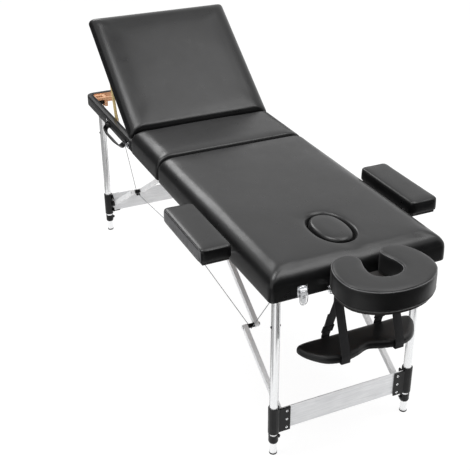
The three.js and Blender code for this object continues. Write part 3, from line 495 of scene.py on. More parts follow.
frameLimits = {
    "leafTop": 0.6249, "hangerSpan": (0.0246, 0.060), "hangerLane": (0.1575, 0.193), "endFace": 0.92505,
    "sideFace": 0.30105, "rimEnd": 0.9135, "rimSide": 0.2895, "joint": 0.012,
}
frameWood = frameFinish("frameBeech", **frameLimits)
footMaterial = footFinish("legFoot", 0.006)
armBoard = boardFinish("armrestBoard", 0.66365)
armLeatherWithPaintedReflection = paintedReflectionSideFinish("armrestLeatherPaintedReflection", 0.4252)

dress = {
    "head_frame": frameWood, "foot_frame": frameWood, "head_deck": darkPlywood, "hip_deck": darkPlywood,
    "backrest_deck": darkPlywood, "backrest_prop": paleBeech, "centre_hinge_pin": chrome,
    "head_cross_plate": brushed, "foot_cross_plate": brushed, "cradle_rods": chrome,
    "cradle_platform": darkPlywood,
}
legDress = {
    "leg_tube": polished, "leg_extension": footMaterial, "leg_bracket": blackPlastic,
    "leg_collar": blackPlastic, "leg_button": chrome, "brace_upper": linkMetal, "brace_lower": linkMetal,
    "brace_cable": steelCable,
}
for hand, _ in hands:
    dress.update({f"{hand}_latch_catch": chrome, f"{hand}_latch_lever": chrome,
                  f"{hand}_armrest_support": armBoard})
    for half, _ in ends:
        dress.update({f"{half}_{hand}_{part}": material for part, material in legDress.items()})
for name, material in dress.items():
    nodes[name].data.materials.clear()
    nodes[name].data.materials.append(material)
print("finishes done")

# Cushions


def rectangleRing(box, radii, cells):
    # points of a cell grid's edge moved onto a rectangle with rounded corners
    (x0, x1), (y0, y1) = box
    nx, ny = cells
    ring = [(x0 + (x1 - x0) * i / nx, y0) for i in range(nx)]
    ring += [(x1, y0 + (y1 - y0) * j / ny) for j in range(ny)]
    ring += [(x1 - (x1 - x0) * i / nx, y1) for i in range(nx)]
    ring += [(x0, y1 - (y1 - y0) * j / ny) for j in range(ny)]
    p = np.array(ring)
    for signX, edgeX, radius in ((-1, x0, radii[0]), (1, x1, radii[1])):
        for signY, edgeY in ((-1, y0), (1, y1)):
            centre = np.array([edgeX - signX * radius, edgeY - signY * radius])
            outward = (p - centre) * (signX, signY)
            inCorner = (outward > 1e-9).all(1)
            scale = radius / np.maximum(np.hypot(*outward.T), 1e-9)
            p = np.where(inCorner[:, None], centre + (p - centre) * scale[:, None], p)
    return p


def cushionShape(settings, hole):
    # rings up the sides and over the edge, then a grid over the top; the same below
    (x0, x1), half = settings["x"], settings["halfWidth"]
    nx = int(round((x1 - x0) / settings["cell"]))
    ny = int(round(2 * half / settings["cell"]))

    def ring(inset, z):
        slot = min(max((z - settings["slotFoot"]) / settings["slotDepth"], 0), 1) ** settings["slotCurve"]
        k0, k1 = (inset * s + slot * deep for s, deep in zip(settings["jointShares"], settings["slots"]))
        radii = [r + settings["cornerGrowth"] * k for r, k in zip(settings["corners"], (k0, k1))]
        box = ((x0 + k0, x1 - k1), (-half + inset, half - inset))
        return atHeight(rectangleRing(box, radii, (nx, ny)), z)

    rings = [ring(inset, z) for inset, z in settings["profile"]]
    count = len(rings[0])
    points, faces = loft(rings)
    points, faces = list(points), faces[:-2]
    patch = None
    if hole:
        (flat0, low), (flat1, high) = rings[-1][:, :2].min(0), rings[-1][:, :2].max(0)
        reachX, reachY = (h + hole["margin"] for h in hole["half"])
        patch = [int(round((x - flat0) / (flat1 - flat0) * nx))
                 for x in (hole["x"] - reachX, hole["x"] + reachX)]
        patch += [int(round((y - low) / (high - low) * ny)) for y in (-reachY, reachY)]

    def core(startRing, flip):
        # the grid inside a ring, and where the hole is, the edge of its patch
        base = startRing * count
        edge = rings[startRing]
        (ex0, ey0), (ex1, ey1) = edge[:, :2].min(0), edge[:, :2].max(0)
        index = {}
        for i in range(nx):
            index[(i, 0)] = base + i
            index[(nx - i, ny)] = base + nx + ny + i
        for j in range(ny):
            index[(nx, j)] = base + nx + j
            index[(0, ny - j)] = base + 2 * nx + ny + j
        for i in range(1, nx):
            for j in range(1, ny):
                if patch and patch[0] < i < patch[1] and patch[2] < j < patch[3]:
                    continue
                index[(i, j)] = len(points)
                points.append(np.array((ex0 + (ex1 - ex0) * i / nx, ey0 + (ey1 - ey0) * j / ny, edge[0, 2])))
        for i in range(nx):
            for j in range(ny):
                if patch and patch[0] <= i < patch[1] and patch[2] <= j < patch[3]:
                    continue
                face = (index[(i, j)], index[(i + 1, j)], index[(i + 1, j + 1)], index[(i, j + 1)])
                faces.append(face[::-1] if flip else face)
        if not patch:
            return None
        a, b, c, d = patch
        loop = [(i, c) for i in range(a, b)] + [(b, j) for j in range(c, d)]
        loop += [(i, d) for i in range(b, a, -1)] + [(a, j) for j in range(d, c, -1)]
        return [index[g] for g in loop]

    def join(before, after):
        for i in range(len(before)):
            j = (i + 1) % len(before)
            faces.append((before[i], before[j], after[j], after[i]))

    top = core(len(rings) - 1, False)
    bottom = core(0, True)
    if hole:
        outer = np.array([points[i] for i in top])
        angles = np.arctan2(outer[:, 1] / hole["half"][1], (outer[:, 0] - hole["x"]) / hole["half"][0])
        walls = [atHeight(ovalAt(angles, hole["x"], 0, *(h + grow for h in hole["half"]), hole["power"]), z)
                 for grow, z in hole["rim"]]
        levels = [outer * (1 - share) + walls[0] * share for share in (0.4, 0.75)] + walls
        levels.append(walls[-1] * 0.4 + np.array([points[i] for i in bottom]) * 0.6)
        for level in levels:
            current = list(range(len(points), len(points) + len(level)))
            points.extend(level)
            join(top, current)
            top = current
        join(top, bottom)
    return np.array(points), faces


def ovalAt(angles, x, y, halfX, halfY, power):
    c, s = np.cos(angles), np.sin(angles)
    return np.column_stack([x + halfX * np.sign(c) * np.abs(c) ** (2 / power),
                            y + halfY * np.sign(s) * np.abs(s) ** (2 / power)])


def ovalOutline(x, y, halfX, halfY, power, count):
    return ovalAt(np.arange(count) * 2 * math.pi / count, x, y, halfX, halfY, power)


def crowned(points, settings):
    # the top rises a little away from the edges, and the foam under it isn't quite even
    (x0, x1), half = settings["x"], settings["halfWidth"]
    band, flat, run, foamCell = (settings[k] for k in ("liftBand", "flatEdge", "riseRun", "foamCell"))
    lift = np.clip((points[:, 2] - (settings["top"] - band)) / band, 0, 1)
    edge = np.minimum.reduce([half - np.abs(points[:, 1]),
                              (points[:, 0] - x0) / settings["jointShares"][0] ** 0.5,
                              (x1 - points[:, 0]) / settings["jointShares"][1] ** 0.5])
    rise = 1 - np.exp(-np.clip(edge - flat, 0, None) / run)
    points[:, 2] += lift * settings["crown"] * rise
    for i in np.nonzero(lift > 0)[0]:
        place = Vector((points[i, 0] / foamCell, points[i, 1] / foamCell, settings["seed"]))
        points[i, 2] += settings["unevenness"] * noise.noise(place) * rise[i]
    return points


clothFrames = 20


def inflate(piece, held, pressure, stiffness, cap, evening):
    # cloth with air pressure inside; how far a point may go is capped, and evened with its neighbours
    mesh = piece.data
    rest = placesOf(mesh)
    piece.vertex_groups.new(name="held").add([int(i) for i in np.nonzero(held)[0]], 1.0, "REPLACE")
    cloth = piece.modifiers.new("Cloth", "CLOTH")
    cloth.settings.quality = 4
    cloth.settings.mass = 0.4
    cloth.settings.tension_stiffness = stiffness
    cloth.settings.compression_stiffness = stiffness
    cloth.settings.bending_stiffness = 0.6
    cloth.settings.use_pressure = True
    cloth.settings.uniform_pressure_force = pressure
    cloth.settings.vertex_group_mass = "held"
    cloth.settings.effector_weights.gravity = 0
    cloth.collision_settings.use_collision = False
    cloth.collision_settings.use_self_collision = False
    cloth.point_cache.frame_start = 1
    cloth.point_cache.frame_end = clothFrames
    for step in range(1, clothFrames + 1):
        scene.frame_set(step)
    swollen = placesOf(piece.evaluated_get(bpy.context.evaluated_depsgraph_get()).data)
    piece.modifiers.remove(cloth)
    scene.frame_set(1)
    if not np.isfinite(swollen).all():
        print("cloth gave no shape for", piece.name)
        return
    move = swollen - rest
    length = np.linalg.norm(move, axis=1, keepdims=True)
    cap *= millimetre
    capped = move * (cap * np.tanh(length / cap) / np.maximum(length, 1e-9))
    edges = np.array([e.vertices[:] for e in mesh.edges])
    degree = np.bincount(edges.ravel(), minlength=len(rest))[:, None]
    for _ in range(evening):
        around = np.zeros_like(capped)
        np.add.at(around, edges[:, 0], capped[edges[:, 1]])
        np.add.at(around, edges[:, 1], capped[edges[:, 0]])
        capped = 0.5 * capped + 0.5 * around / degree
        capped[held] = 0
    mesh.vertices.foreach_set("co", (rest + capped).ravel())
    mesh.update()
    furthest = float(np.linalg.norm(capped, axis=1).max() / millimetre)
    print("inflated", piece.name, "by up to", round(furthest, 1), "mm")


def finishSoft(piece, body, replaced):
    fine = piece.modifiers.new("Fine", "SUBSURF")
    fine.levels = fine.render_levels = 1
    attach(piece, body)
    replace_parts(piece, replaced)
    print("soft piece:", piece.name)
    return piece


def buildCushion(name, settings, body, replaced, turn=None):
    hole = settings.get("hole")
    points, faces = cushionShape(settings, hole)
    points = crowned(points, settings)
    if settings.get("openEnd"):  # no skirt where the folded legs pass under the section's end
        gap = settings["openEnd"]
        low = (points[:, 0] < gap["x"]) & (points[:, 2] < gap["below"])
        side = np.clip((np.abs(points[:, 1]) - gap["inner"]) / gap["blend"], 0, 1)
        short = gap["hem"] + (points[:, 2] - gap["skirtFoot"]) * gap["share"]
        points[:, 2] = np.where(low, short * (1 - side) + points[:, 2] * side, points[:, 2])
    piece = makePiece(name, [((points, faces), leather)], creased=False)
    flat = placesOf(piece.data) / millimetre - (middleX, 0, 0)
    held = flat[:, 2] < settings["heldBelow"]
    if hole:
        reachX, reachY = (h + 4 for h in hole["half"])
        held |= ((flat[:, 0] - hole["x"]) / reachX) ** 2 + (flat[:, 1] / reachY) ** 2 < 1
    inflate(piece, held, **settings["air"])
    if turn:
        blown = placesOf(piece.data) / millimetre - (middleX, 0, 0)
        piece.data.vertices.foreach_set("co", toScene(turn(blown)).ravel())
        piece.data.update()
    return finishSoft(piece, body, replaced)


def softEdge(sideTop, top, reach, steps):
    # quarter of a rounded edge from the side over to the top, in (inset, height) pairs
    angles = [math.pi / 2 * k / steps for k in range(1, steps + 1)]
    return [(reach * (1 - math.cos(a)) + 0.3, sideTop + (top - sideTop) * math.sin(a)) for a in angles]


edgeProfile = softEdge(673.5, 716.3, 52.0, 12) + [(58.0, 716.6)]
cushionSettings = {
    "halfWidth": 305.4, "cell": 12.0, "top": 716.6, "crown": 1.6, "unevenness": 0.9, "heldBelow": 660.0,
    "fill": 0.85, "air": {"pressure": 3.0, "stiffness": 18.0, "cap": 2.2, "evening": 8},
    "slotFoot": 684, "slotDepth": 32, "slotCurve": 1.4, "cornerGrowth": 0.12,
    "liftBand": 8, "flatEdge": 36, "riseRun": 42, "foamCell": 130,
    "profile": [(2.1, 673.5), (2.1, 650.0), (1.9, 625.4), (0.9, 625.0), (0.2, 626.2), (0.0, 631.0),
                (0.0, 645.0), (0.0, 660.0), (0.2, 670.0)] + edgeProfile,
}
headCushion = {
    **cushionSettings, "x": (2.6, 926.6), "corners": (8.0, 12.0), "jointShares": (0.13, 0.95),
    "slots": (5.5, 0.0), "seed": 3.7,
    "hole": {"x": 735.0, "half": (96.4, 61.4), "margin": 21.0, "power": 2.25,
             "rim": [(13.0, 716.5), (9.6, 715.9), (6.4, 713.9), (3.8, 710.2), (1.9, 704.4), (0.7, 696.0),
                     (0.0, 685.0), (0.0, 673.5)]},
}
hipCushion = {
    **cushionSettings, "x": (-300.8, -2.6), "corners": (8.0, 8.0), "jointShares": (0.4, 0.13),
    "slots": (8.0, 5.5), "crown": 1.2, "unevenness": 0.7, "seed": 8.2,
    "openEnd": {"x": -280.0, "inner": 280.0, "below": 671, "blend": 10, "hem": 668.0, "skirtFoot": 625,
                "share": 0.05},
}
backrestCushion = {
    **cushionSettings, "x": (-904.4, -317.0), "halfWidth": 304.6, "corners": (14.0, 8.0),
    "jointShares": (0.9, 0.4), "slots": (0.0, 8.0), "seed": 5.1, "heldBelow": 672.0,
    "profile": [(2.4, 673.5), (2.4, 671.0), (2.2, 668.9), (1.2, 668.4), (0.3, 669.2),
                (0.1, 673.0)] + edgeProfile,
}
buildCushion("head_section_cushion", headCushion, "head_half", "head_cushion")
buildCushion("hip_section_cushion", hipCushion, "foot_half", "hip_cushion")
buildCushion("backrest_section_cushion", backrestCushion, "backrest", "backrest_cushion", raised)


# Small padded pieces: a thick outline remeshed and blown up

def inwardOf(outline):
    ahead = headings(outline, True)
    area = np.sum(outline[:, 0] * np.roll(outline[:, 1], -1) - np.roll(outline[:, 0], -1) * outline[:, 1])
    return np.column_stack([-ahead[:, 1], ahead[:, 0]]) * (1 if area > 0 else -1)


def remesh(piece, voxel):
    even = piece.modifiers.new("Even", "REMESH")
    even.mode = "VOXEL"
    even.voxel_size = voxel
    smoothing = piece.modifiers.new("Smooth", "SMOOTH")
    smoothing.factor = 0.5
    smoothing.iterations = 4
    material = piece.data.materials[0]
    graph = bpy.context.evaluated_depsgraph_get()
    piece.data = bpy.data.meshes.new_from_object(piece.evaluated_get(graph))
    piece.modifiers.clear()
    piece.data.materials.clear()
    piece.data.materials.append(material)
    piece.data.shade_smooth()


def buildPad(name, outline, profile, voxel, heldBelow, fill, air, material, body, replaced):
    # the outline drawn in by each inset of the profile
    inward = inwardOf(outline)
    shape = loft([atHeight(outline + inward * inset, z) for inset, z in profile])
    piece = makePiece(name, [(shape, material)], creased=False)
    remesh(piece, voxel)
    inflate(piece, placesOf(piece.data)[:, 2] / millimetre < heldBelow, *air)
    return finishSoft(piece, body, replaced)


def onSurface(piece, points, toward, sink=0.0):
    # each point moved along its own direction until it meets the piece
    graph = bpy.context.evaluated_depsgraph_get()
    tree = BVHTree.FromObject(piece.evaluated_get(graph), graph)
    out = []
    for p, d in zip(toScene(points), toward):
        d = Vector(d).normalized()
        hit = tree.ray_cast(Vector(p) - d * 0.05, d, 0.12)[0]
        out.append((hit + d * sink * millimetre) if hit else Vector(p))
    return np.array(out) / millimetre - (middleX, 0, 0)


def addBead(name, piece, outline, level, radius, tilt, body, material, sink):
    # a piping cord laid round the piece where its faces meet
    toward = atHeight(inwardOf(outline) * math.cos(tilt), -math.sin(tilt))
    path = onSurface(piece, atHeight(outline, level), toward, sink)
    for _ in range(2):
        path = 0.25 * np.roll(path, 1, 0) + 0.5 * path + 0.25 * np.roll(path, -1, 0)
    makePiece(name, [(sweep(path, circle(radius, 8), closed=True), material)], body, creased=False)


plugPad = {
    "voxel": 0.004, "heldBelow": 704.0, "fill": 0.9, "air": (3.0, 12.0, 1.4, 24),
    "outline": ovalOutline(735, 0, 92.6, 57.6, 2.25, 96),
    "profile": [(1.5, 673.7), (0, 675.0), (0, 700.0), (0.4, 708.0), (1.8, 714.0), (5.0, 718.4),
                (10.0, 720.8), (18.0, 722.0), (32.0, 722.6)],
}
buildPad("face_hole_plug", **plugPad, material=leather, body="face_hole_plug", replaced="face_plug")

armPad = {
    "voxel": 0.0045, "heldBelow": 674.0, "fill": 0.9, "air": (4.0, 12.0, 1.3, 24),
    "profile": [(2.0, 672.2), (0.4, 673.6), (0.2, 684.0), (0.2, 706.0), (0.8, 713.0), (2.6, 716.6),
                (6.0, 718.4), (14.0, 718.8)],
}
armPlace = {"x": (384.1, 707.9), "y": (322.6, 429.4), "radius": 16.0, "spacing": 6.0}
for hand, side in hands:
    armX, armY = armPlace["x"], sorted(side * y for y in armPlace["y"])
    cells = [int(round((high - low) / armPlace["spacing"])) for low, high in (armX, armY)]
    outline = rectangleRing((armX, armY), (armPlace["radius"],) * 2, cells)
    body = f"{hand}_armrest"
    pad = buildPad(f"{hand}_armrest_cushion", outline, **armPad, material=armLeatherWithPaintedReflection, body=body,
                   replaced=f"{hand}_armrest_pad")
    addBead(f"{hand}_armrest_piping", pad, outline, 716.4, 1.2, math.radians(50), body, darkSeam, 0.5)
    addBead(f"{hand}_armrest_lower_seam", pad, outline, 676.0, 0.9, 0.0, body, darkSeam, 0.2)

cradleShares = [
    (0.655, 0), (0.62, 0.2), (0.53, 0.325), (0.36, 0.325), (0.21, 0.255), (0.12, 0.235), (0.035, 0.31),
    (0, 0.5), (0.07, 0.78), (0.22, 0.93), (0.45, 1), (0.7, 0.93), (0.9, 0.62), (0.98, 0.3), (1, 0),
]
shelfShares = [
    (0, 0), (0, 0.25), (0, 0.55), (0.012, 0.86), (0.09, 0.985), (0.3, 0.985), (0.62, 0.88), (0.88, 0.72),
    (0.98, 0.48), (0.9, 0.22), (0.78, 0),
]


def sharedOutline(shares, x, length, half, count):
    one = [(x + length * a, half * b) for a, b in shares]
    other = [(px, -py) for px, py in one[1:-1]][::-1]
    return smoothPath(one + other, count, closed=True)


cradlePad = {
    "voxel": 0.0045, "heldBelow": 667.0, "fill": 0.85, "air": (4.0, 10.0, 1.8, 24),
    "outline": sharedOutline(cradleShares, 930, 236, 154, 220),
    "profile": [(5.0, 664.2), (1.2, 665.6), (0.6, 672.0), (0.6, 690.0), (0.6, 712.0), (0.8, 726.0),
                (1.8, 731.5), (4.6, 735.2), (9.0, 736.6), (16.0, 737.0)],
}
cradle = buildPad("face_cradle_cushion", **cradlePad, material=cradleLeather, body="cradle_head",
                  replaced="cradle_cushion")
addBead("cradle_top_piping", cradle, cradlePad["outline"], 734.6, 1.8, math.radians(50), "cradle_head",
        piping, 0.5)
seamLine = [(1001.0, -147.0, z) for z in np.linspace(676, 730, 12)]
seamPath = onSurface(cradle, seamLine, [(0.35, 0.94, 0.0)] * 12, -0.1)
makePiece("cradle_side_seam", [(sweep(seamPath, circle(0.9, 8), up=(1, 0, 0)), darkSeam)], "cradle_head",
          creased=False)
addBead("cradle_bottom_seam", cradle, cradlePad["outline"], 674.0, 1.0, 0.0, "cradle_head", darkSeam, 0.3)

shelfPad = {
    "voxel": 0.004, "heldBelow": 416.0, "fill": 0.7, "air": (3.0, 12.0, 1.2, 24),
    "outline": sharedOutline(shelfShares, 893, 123, 207, 200),
    "profile": [(5.0, 412.2), (1.6, 413.4), (0.6, 418.0), (0.6, 426.0), (1.8, 432.0), (5.0, 436.2),
                (10.0, 438.4), (18.0, 439.2)],
}
shelf = buildPad("hanging_arm_shelf", **shelfPad, material=cradleLeather, body="hanging_shelf",
                 replaced="arm_shelf")
addBead("shelf_edge_seam", shelf, shelfPad["outline"], 420.0, 0.9, 0.0, "hanging_shelf", darkSeam, 0.3)

# Leather round the open ring of the foot half

wrap = {"outer": 302.5, "inner": 277.0, "end": 926.4, "start": -301.5, "corner": 35.5, "low": 624.8,
        "high": 668.25, "edge": 3.0, "fold": 1.1}


def ringWrap(outer, inner, end, start, corner, low, high, edge, fold):
    # a thin hide over the outside and the top of three rails, turned under at both edges
    side = [((x, -outer), (0.0, -1.0)) for x in np.linspace(start, -end + corner, 40)]
    for k in range(1, 12):
        a = math.radians(90 * k / 12)
        n = (-math.sin(a), -math.cos(a))
        side.append(((-end + corner + corner * n[0], -outer + corner + corner * n[1]), n))
    across = [((-end, y), (-1.0, 0.0)) for y in np.linspace(-outer + corner, outer - corner, 40)]
    otherSide = [((x, -y), (nx, -ny)) for (x, y), (nx, ny) in side[::-1]]
    depth = outer - inner
    section = [(depth * 0.5, low - 0.35), (edge, low - 0.35), (0.8, low + 0.3), (0.0, low + edge),
               (-0.15, (low + high) / 2), (0.0, high - edge), (0.8, high - 0.75), (edge, high), (depth, high),
               (depth, high - 0.2), (edge, high - 0.2), (fold + 0.25, high - 0.8), (fold, high - edge),
               (fold, low + edge), (edge, low + 0.15), (depth * 0.5, low + 0.15)]
    return loft([[(x - nx * inset, y - ny * inset, z) for inset, z in section]
                 for (x, y), (nx, ny) in side + across + otherSide])


wrapPiece = makePiece("foot_ring_wrap", [(ringWrap(**wrap), leather)], "foot_half", creased=False)
print("foot ring wrapped")

# Hardware and straps


def framed(shape, origin, along, across):
    # a shape drawn about zero, set at origin with its x along and its y across
    along = np.asarray(along, float) / np.linalg.norm(along)
    across = np.asarray(across, float) - np.dot(across, along) * along
    across /= np.linalg.norm(across)
    turn = np.stack([along, across, np.cross(along, across)])
    return shape[0] @ turn + np.asarray(origin, float), shape[1]


screw = {"radius": 4.6, "height": 2.3, "slot": 5.0, "slotWidth": 1.1}


def screwShapes(place, axis, across=(0, 0, 1)):
    # pan head with a cross recess, drawn as two dark bars laid on the head: painted shade
    r, h = screw["radius"], screw["height"]
    headShape = turned([(r * 0.98, -0.2), (r, 0.3), (r * 0.96, h * 0.45), (r * 0.8, h * 0.8), (r * 0.5, h),
                        (r * 0.3, h)], place, axis, 20)
    shapes = [(headShape, chrome)]
    for w, d in ((screw["slotWidth"], screw["slot"]), (screw["slot"], screw["slotWidth"])):
        recessShadeBar = slab((0, 0, 0), (w, d, 0.5), 0.4, "z", 0.1)
        top = np.array(place) + np.array(axis) * (h - 0.1)
        shapes.append((framed(recessShadeBar, top, np.cross(axis, across), across), darkSeam))
    return shapes


def dome(place, axis, radius, height, sides=20):
    shares = ((1, 0.25), (0.9, 0.6), (0.65, 0.88), (0.3, 1))
    return turned([(radius, -0.3)] + [(radius * r, height * h) for r, h in shares], place, axis, sides)


legPlace = (862.0, 253.6, 0.0)
rivetPlace = (862.0, 253.6, 497.0)
knee = (579.1, 0.0, 310.5)
upward, sideways = (0, 0, 1), (0, 1, 0)
topPlug = turned([(12.0, 634.0), (14.75, 634.4), (14.75, 652.0), (14.2, 654.4), (12.4, 655.9)],
                 legPlace, upward, 32)
bandRing = turned([(14.2, 621.0), (14.6, 621.4), (14.6, 625.0), (14.2, 625.4)], legPlace, upward, 32)
shoe = turned([(11.6, 0.05), (12.7, 0.4), (13.3, 1.2), (13.3, 2.4), (13.0, 2.7), (13.0, 3.3), (13.3, 3.6),
               (13.3, 5.2), (12.9, 5.9), (12.3, 6.1)], legPlace, upward, 32)
rivetPin = turned([(2.0, -16.9), (3.2, -16.7), (3.8, -16.0), (3.8, -14.2), (1.6, -13.6), (1.6, 13.6),
                   (3.8, 14.2), (3.8, 16.0), (3.2, 16.7), (2.0, 16.9)], rivetPlace, sideways, 14)
sleeve = turned([(7.2, 187.6), (7.9, 188.2), (7.9, 194.0), (7.5, 194.4), (7.5, 205.6), (7.9, 206.0),
                 (7.9, 211.8), (7.2, 212.4)], knee, sideways, 24)
nut = turned([(6.2, 171.1), (6.6, 170.0), (6.6, 167.8), (5.4, 166.6), (3.0, 166.2)], knee, sideways, 6)
clip = slab((knee[0] - 10.5, 200.0, knee[2] - 9.5), (15.0, 16.0, 5.0), 2.0, "z", 0.8)
ears = [slab((852.0, 233.8, z), (20.0, 2.0, 22.0), 9.0, "y", 0.6) for z in (104.0, 168.0)]
bracketScrews = [s for z in (99.0, 132.0, 165.0)
                 for s in screwShapes((872.0, 211.0, z), (1, 0, 0), (0, 0.35, 1))]
kneeRivet = dome((knee[0], 229.0, knee[2]), sideways, 6.2, 2.8)
bracketPin = dome((852.0, 212.9, 135.0), (0, -1, 0), 6.5, 4.2)
legPieces = [
    ("bracket_screws", bracketScrews, "{half}_legs", "chromed_steel"),
    ("leg_trim", [(topPlug, blackPlastic), (rivetPin, darkSteel), (bandRing, blackPlastic)], "{half}_legs",
     "black_plastic"),
    ("rubber_foot", [(shoe, blackRubber)], "{half}_{hand}_foot", "black_plastic"),
    ("knee_spacer", [(sleeve, blackPlastic), (nut, darkSteel), (clip, blackPlastic)], "{half}_upper_braces",
     "black_plastic"),
    ("bracket_ears", [(ear, blackPlastic) for ear in ears], "{half}_legs", "black_plastic"),
    ("knee_rivet", [(kneeRivet, darkSteel)], "{half}_lower_braces", "chromed_steel"),
    ("bracket_pin", [(bracketPin, chrome)], "{half}_legs", "chromed_steel"),
]
for half, sideX in ends:
    for hand, side in hands:
        for name, parts, body, slot in legPieces:
            makePiece(f"{half}_{hand}_{name}", parts, body.format(half=half, hand=hand),
                      (sideX, side))
print("leg hardware done")

latchY = 202.0
latchPlate = {"x": 927.7, "y": latchY, "z": 645.5}
latchToggle = {"y": latchY, "pivot": (932.1, 651.0)}


def ovalLoop(x, y, z, halfY, halfZ, radius, count, sides):
    path = np.column_stack([np.full(count, x), ovalOutline(y, z, halfY, halfZ, 2.6, count)])
    return sweep(path, circle(radius, sides), closed=True, up=(1, 0, 0))


def plateShapes(x, y, z):
    plate = slab((x, y, z), (1.5, 34.0, 36.0), 14.0, "x", 0.6)
    rivets = [dome((x + 0.6, y + dy, 632.5), (1, 0, 0), 2.4, 1.3, 14) for dy in (-12.0, 12.0)]
    rim = ovalLoop(x + 0.9, y, z, 14.4, 15.4, 1.1, 48, 8)
    return [(plate, nickel)] + [(bright, chrome) for bright in (rim, *rivets)]


def toggleShapes(y, pivot):
    # a bowed blade on its barrel, with ribs for the thumb and the bail that takes the catch
    px, pz = pivot
    rings = []
    for share in np.linspace(0, 1, 22):
        half = 9.6 * (1 - abs(2 * share - 1) ** 4 * 0.6)
        bow = 1.6 * math.sin(math.pi * share) + 1.6 * max(share - 0.8, 0) * 5
        section = roundedSection(2 * half, 3.8, 1.85, 4)[:, ::-1] + (px + 1.4 + bow, y)
        rings.append(atHeight(section, pz + 0.6 - share * 45.0))
    barrel = turned([(4.2, -11.0), (4.8, -10.6), (4.8, 10.6), (4.2, 11.0)], (px, y, pz), (0, 1, 0), 24)
    ribs = [slab((px + 5.0, y, level), (1.6, 9.0, 1.6), 0.7, "x", 0.4) for level in (634.0, 628.0)]
    bail = ovalLoop(px + 4.4, y, 626.6, 13.2, 22.8, 1.5, 56, 10)
    return [(loft(rings), nickel), (barrel, nickel), (bail, chrome)] + [(r, darkSteel) for r in ribs]


for hand, side in hands:
    makePiece(f"{hand}_latch_plate", plateShapes(**latchPlate), "head_half", (1, side))
    piece = makePiece(f"{hand}_latch_toggle", toggleShapes(**latchToggle), f"{hand}_latch",
                      (1, side))
    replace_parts(piece, f"{hand}_latch_lever")
print("latches done")


def roundedPolygon(points, radius, steps=6):
    # corners of a closed side view eased by a short arc
    points = np.asarray(points, float)
    out = []
    for i, b in enumerate(points):
        a, c = points[i - 1], points[(i + 1) % len(points)]
        r = min(radius, np.linalg.norm(a - b) * 0.45, np.linalg.norm(c - b) * 0.45)
        p, q = (b + (end - b) / np.linalg.norm(end - b) * r for end in (a, c))
        out += [eased(p, b, q, k / steps) for k in range(steps + 1)]
    return np.array(out)


def eased(p, corner, q, t):
    return (1 - t) ** 2 * p + 2 * t * (1 - t) * corner + t ** 2 * q


strap = {"y": 95.0, "width": 30.0, "thickness": 1.7, "back": 891.8, "front": 1017.2, "under": 410.9,
         "level": 437.0, "axle": (955.0, 645.0), "wind": 5.3, "meet": (2.0, 598.0)}


def shelfStrap(y, width, thickness, back, front, under, level, axle, wind, meet):
    # under the shelf, up to the axle, over it and down again
    ax, az = axle
    apart = meet[0]
    corners = [(back, level), (back, under), (front, under), (front, level), (ax + apart, meet[1]),
               (ax + apart + 0.8, az - 12.0)]
    corners += [(ax + wind * math.cos(t), az + wind * math.sin(t))
                for t in np.linspace(-0.3, math.pi + 0.3, 11)]
    corners += [(ax - apart - 0.8, az - 12.0), (ax - apart, meet[1])]
    side = roundedPolygon(corners, 4.0, 4)
    path = np.column_stack([side[:, 0], np.full(len(side), y), side[:, 1]])
    walk = np.vstack([path, path[:1]])
    reach = reachOf(walk)
    even = np.linspace(0, reach[-1], 150, endpoint=False)
    places = np.unique(np.concatenate([reach[:-1], even]).round(3))
    section = roundedSection(thickness, width, 0.7, 2)
    return sweep(pointsAt(walk, places), section, closed=True, up=sideways)


def buckleShapes(y, back, level, axle, meet, **others):
    # ladder lock on the back run, with the short tail of webbing that it holds
    foot = np.array([back, y, level])
    top = np.array([axle[0] - meet[0], y, meet[1]])
    along = (top - foot) / np.linalg.norm(top - foot)
    out = np.array([-along[2], 0, along[0]])
    spot = foot + along * 34.0

    def laid(size, radius, bevel, place, material):
        return framed(slab((0, 0, 0), size, radius, "z", bevel), place, along, (0, 1, 0)), material

    shapes = [laid((31.0, 4.2, 5.0), 1.8, 0.9, spot + (0, dy, 0), blackPlastic) for dy in (-17.2, 17.2)]
    for step, lift in ((-13.5, 0.0), (-4.5, 1.8), (4.5, 1.8), (13.5, 0.0)):
        shapes.append(laid((4.4, 36.2, 4.0), 1.6, 0.9, spot + along * step + out * lift, blackPlastic))
    shapes.append(laid((17.0, 29.4, 2.4), 1.0, 0.5, spot + out * 3.4, webbing))
    tail = [spot + along * (8 + 62 * t) + out * (3.2 + 2.5 * math.sin(1.9 * t) * t)
            for t in np.linspace(0, 1, 9)]
    shapes.append((sweep(tail, roundedSection(1.7, 29.6, 0.7, 2), up=(0, 1, 0)), webbing))
    shapes.append(laid((1.0, 24.0, 0.6), 0.3, 0.2, foot + along * 11.0 + out * 1.1, darkSeam))
    return shapes


for hand, side in hands:
    shapes = [(shelfStrap(**strap), webbing)] + buckleShapes(**strap)
    piece = makePiece(f"{hand}_shelf_webbing", shapes, "hanging_shelf", (1, side))
    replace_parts(piece, f"{hand}_shelf_strap")
print("shelf straps done")

# Cables under the deck, each carried by its half
cable = {
    "route": [(842.6, 655.0), (583.4, 301.4), (3.4, 357.0), (11.6, 622.6)], "cuts": (1.2, 5.0), "y": 200.0,
    "radius": 1.4, "sleeve": [(2.1, -7.5), (2.7, -6.8), (2.7, 6.8), (2.1, 7.5)],
}


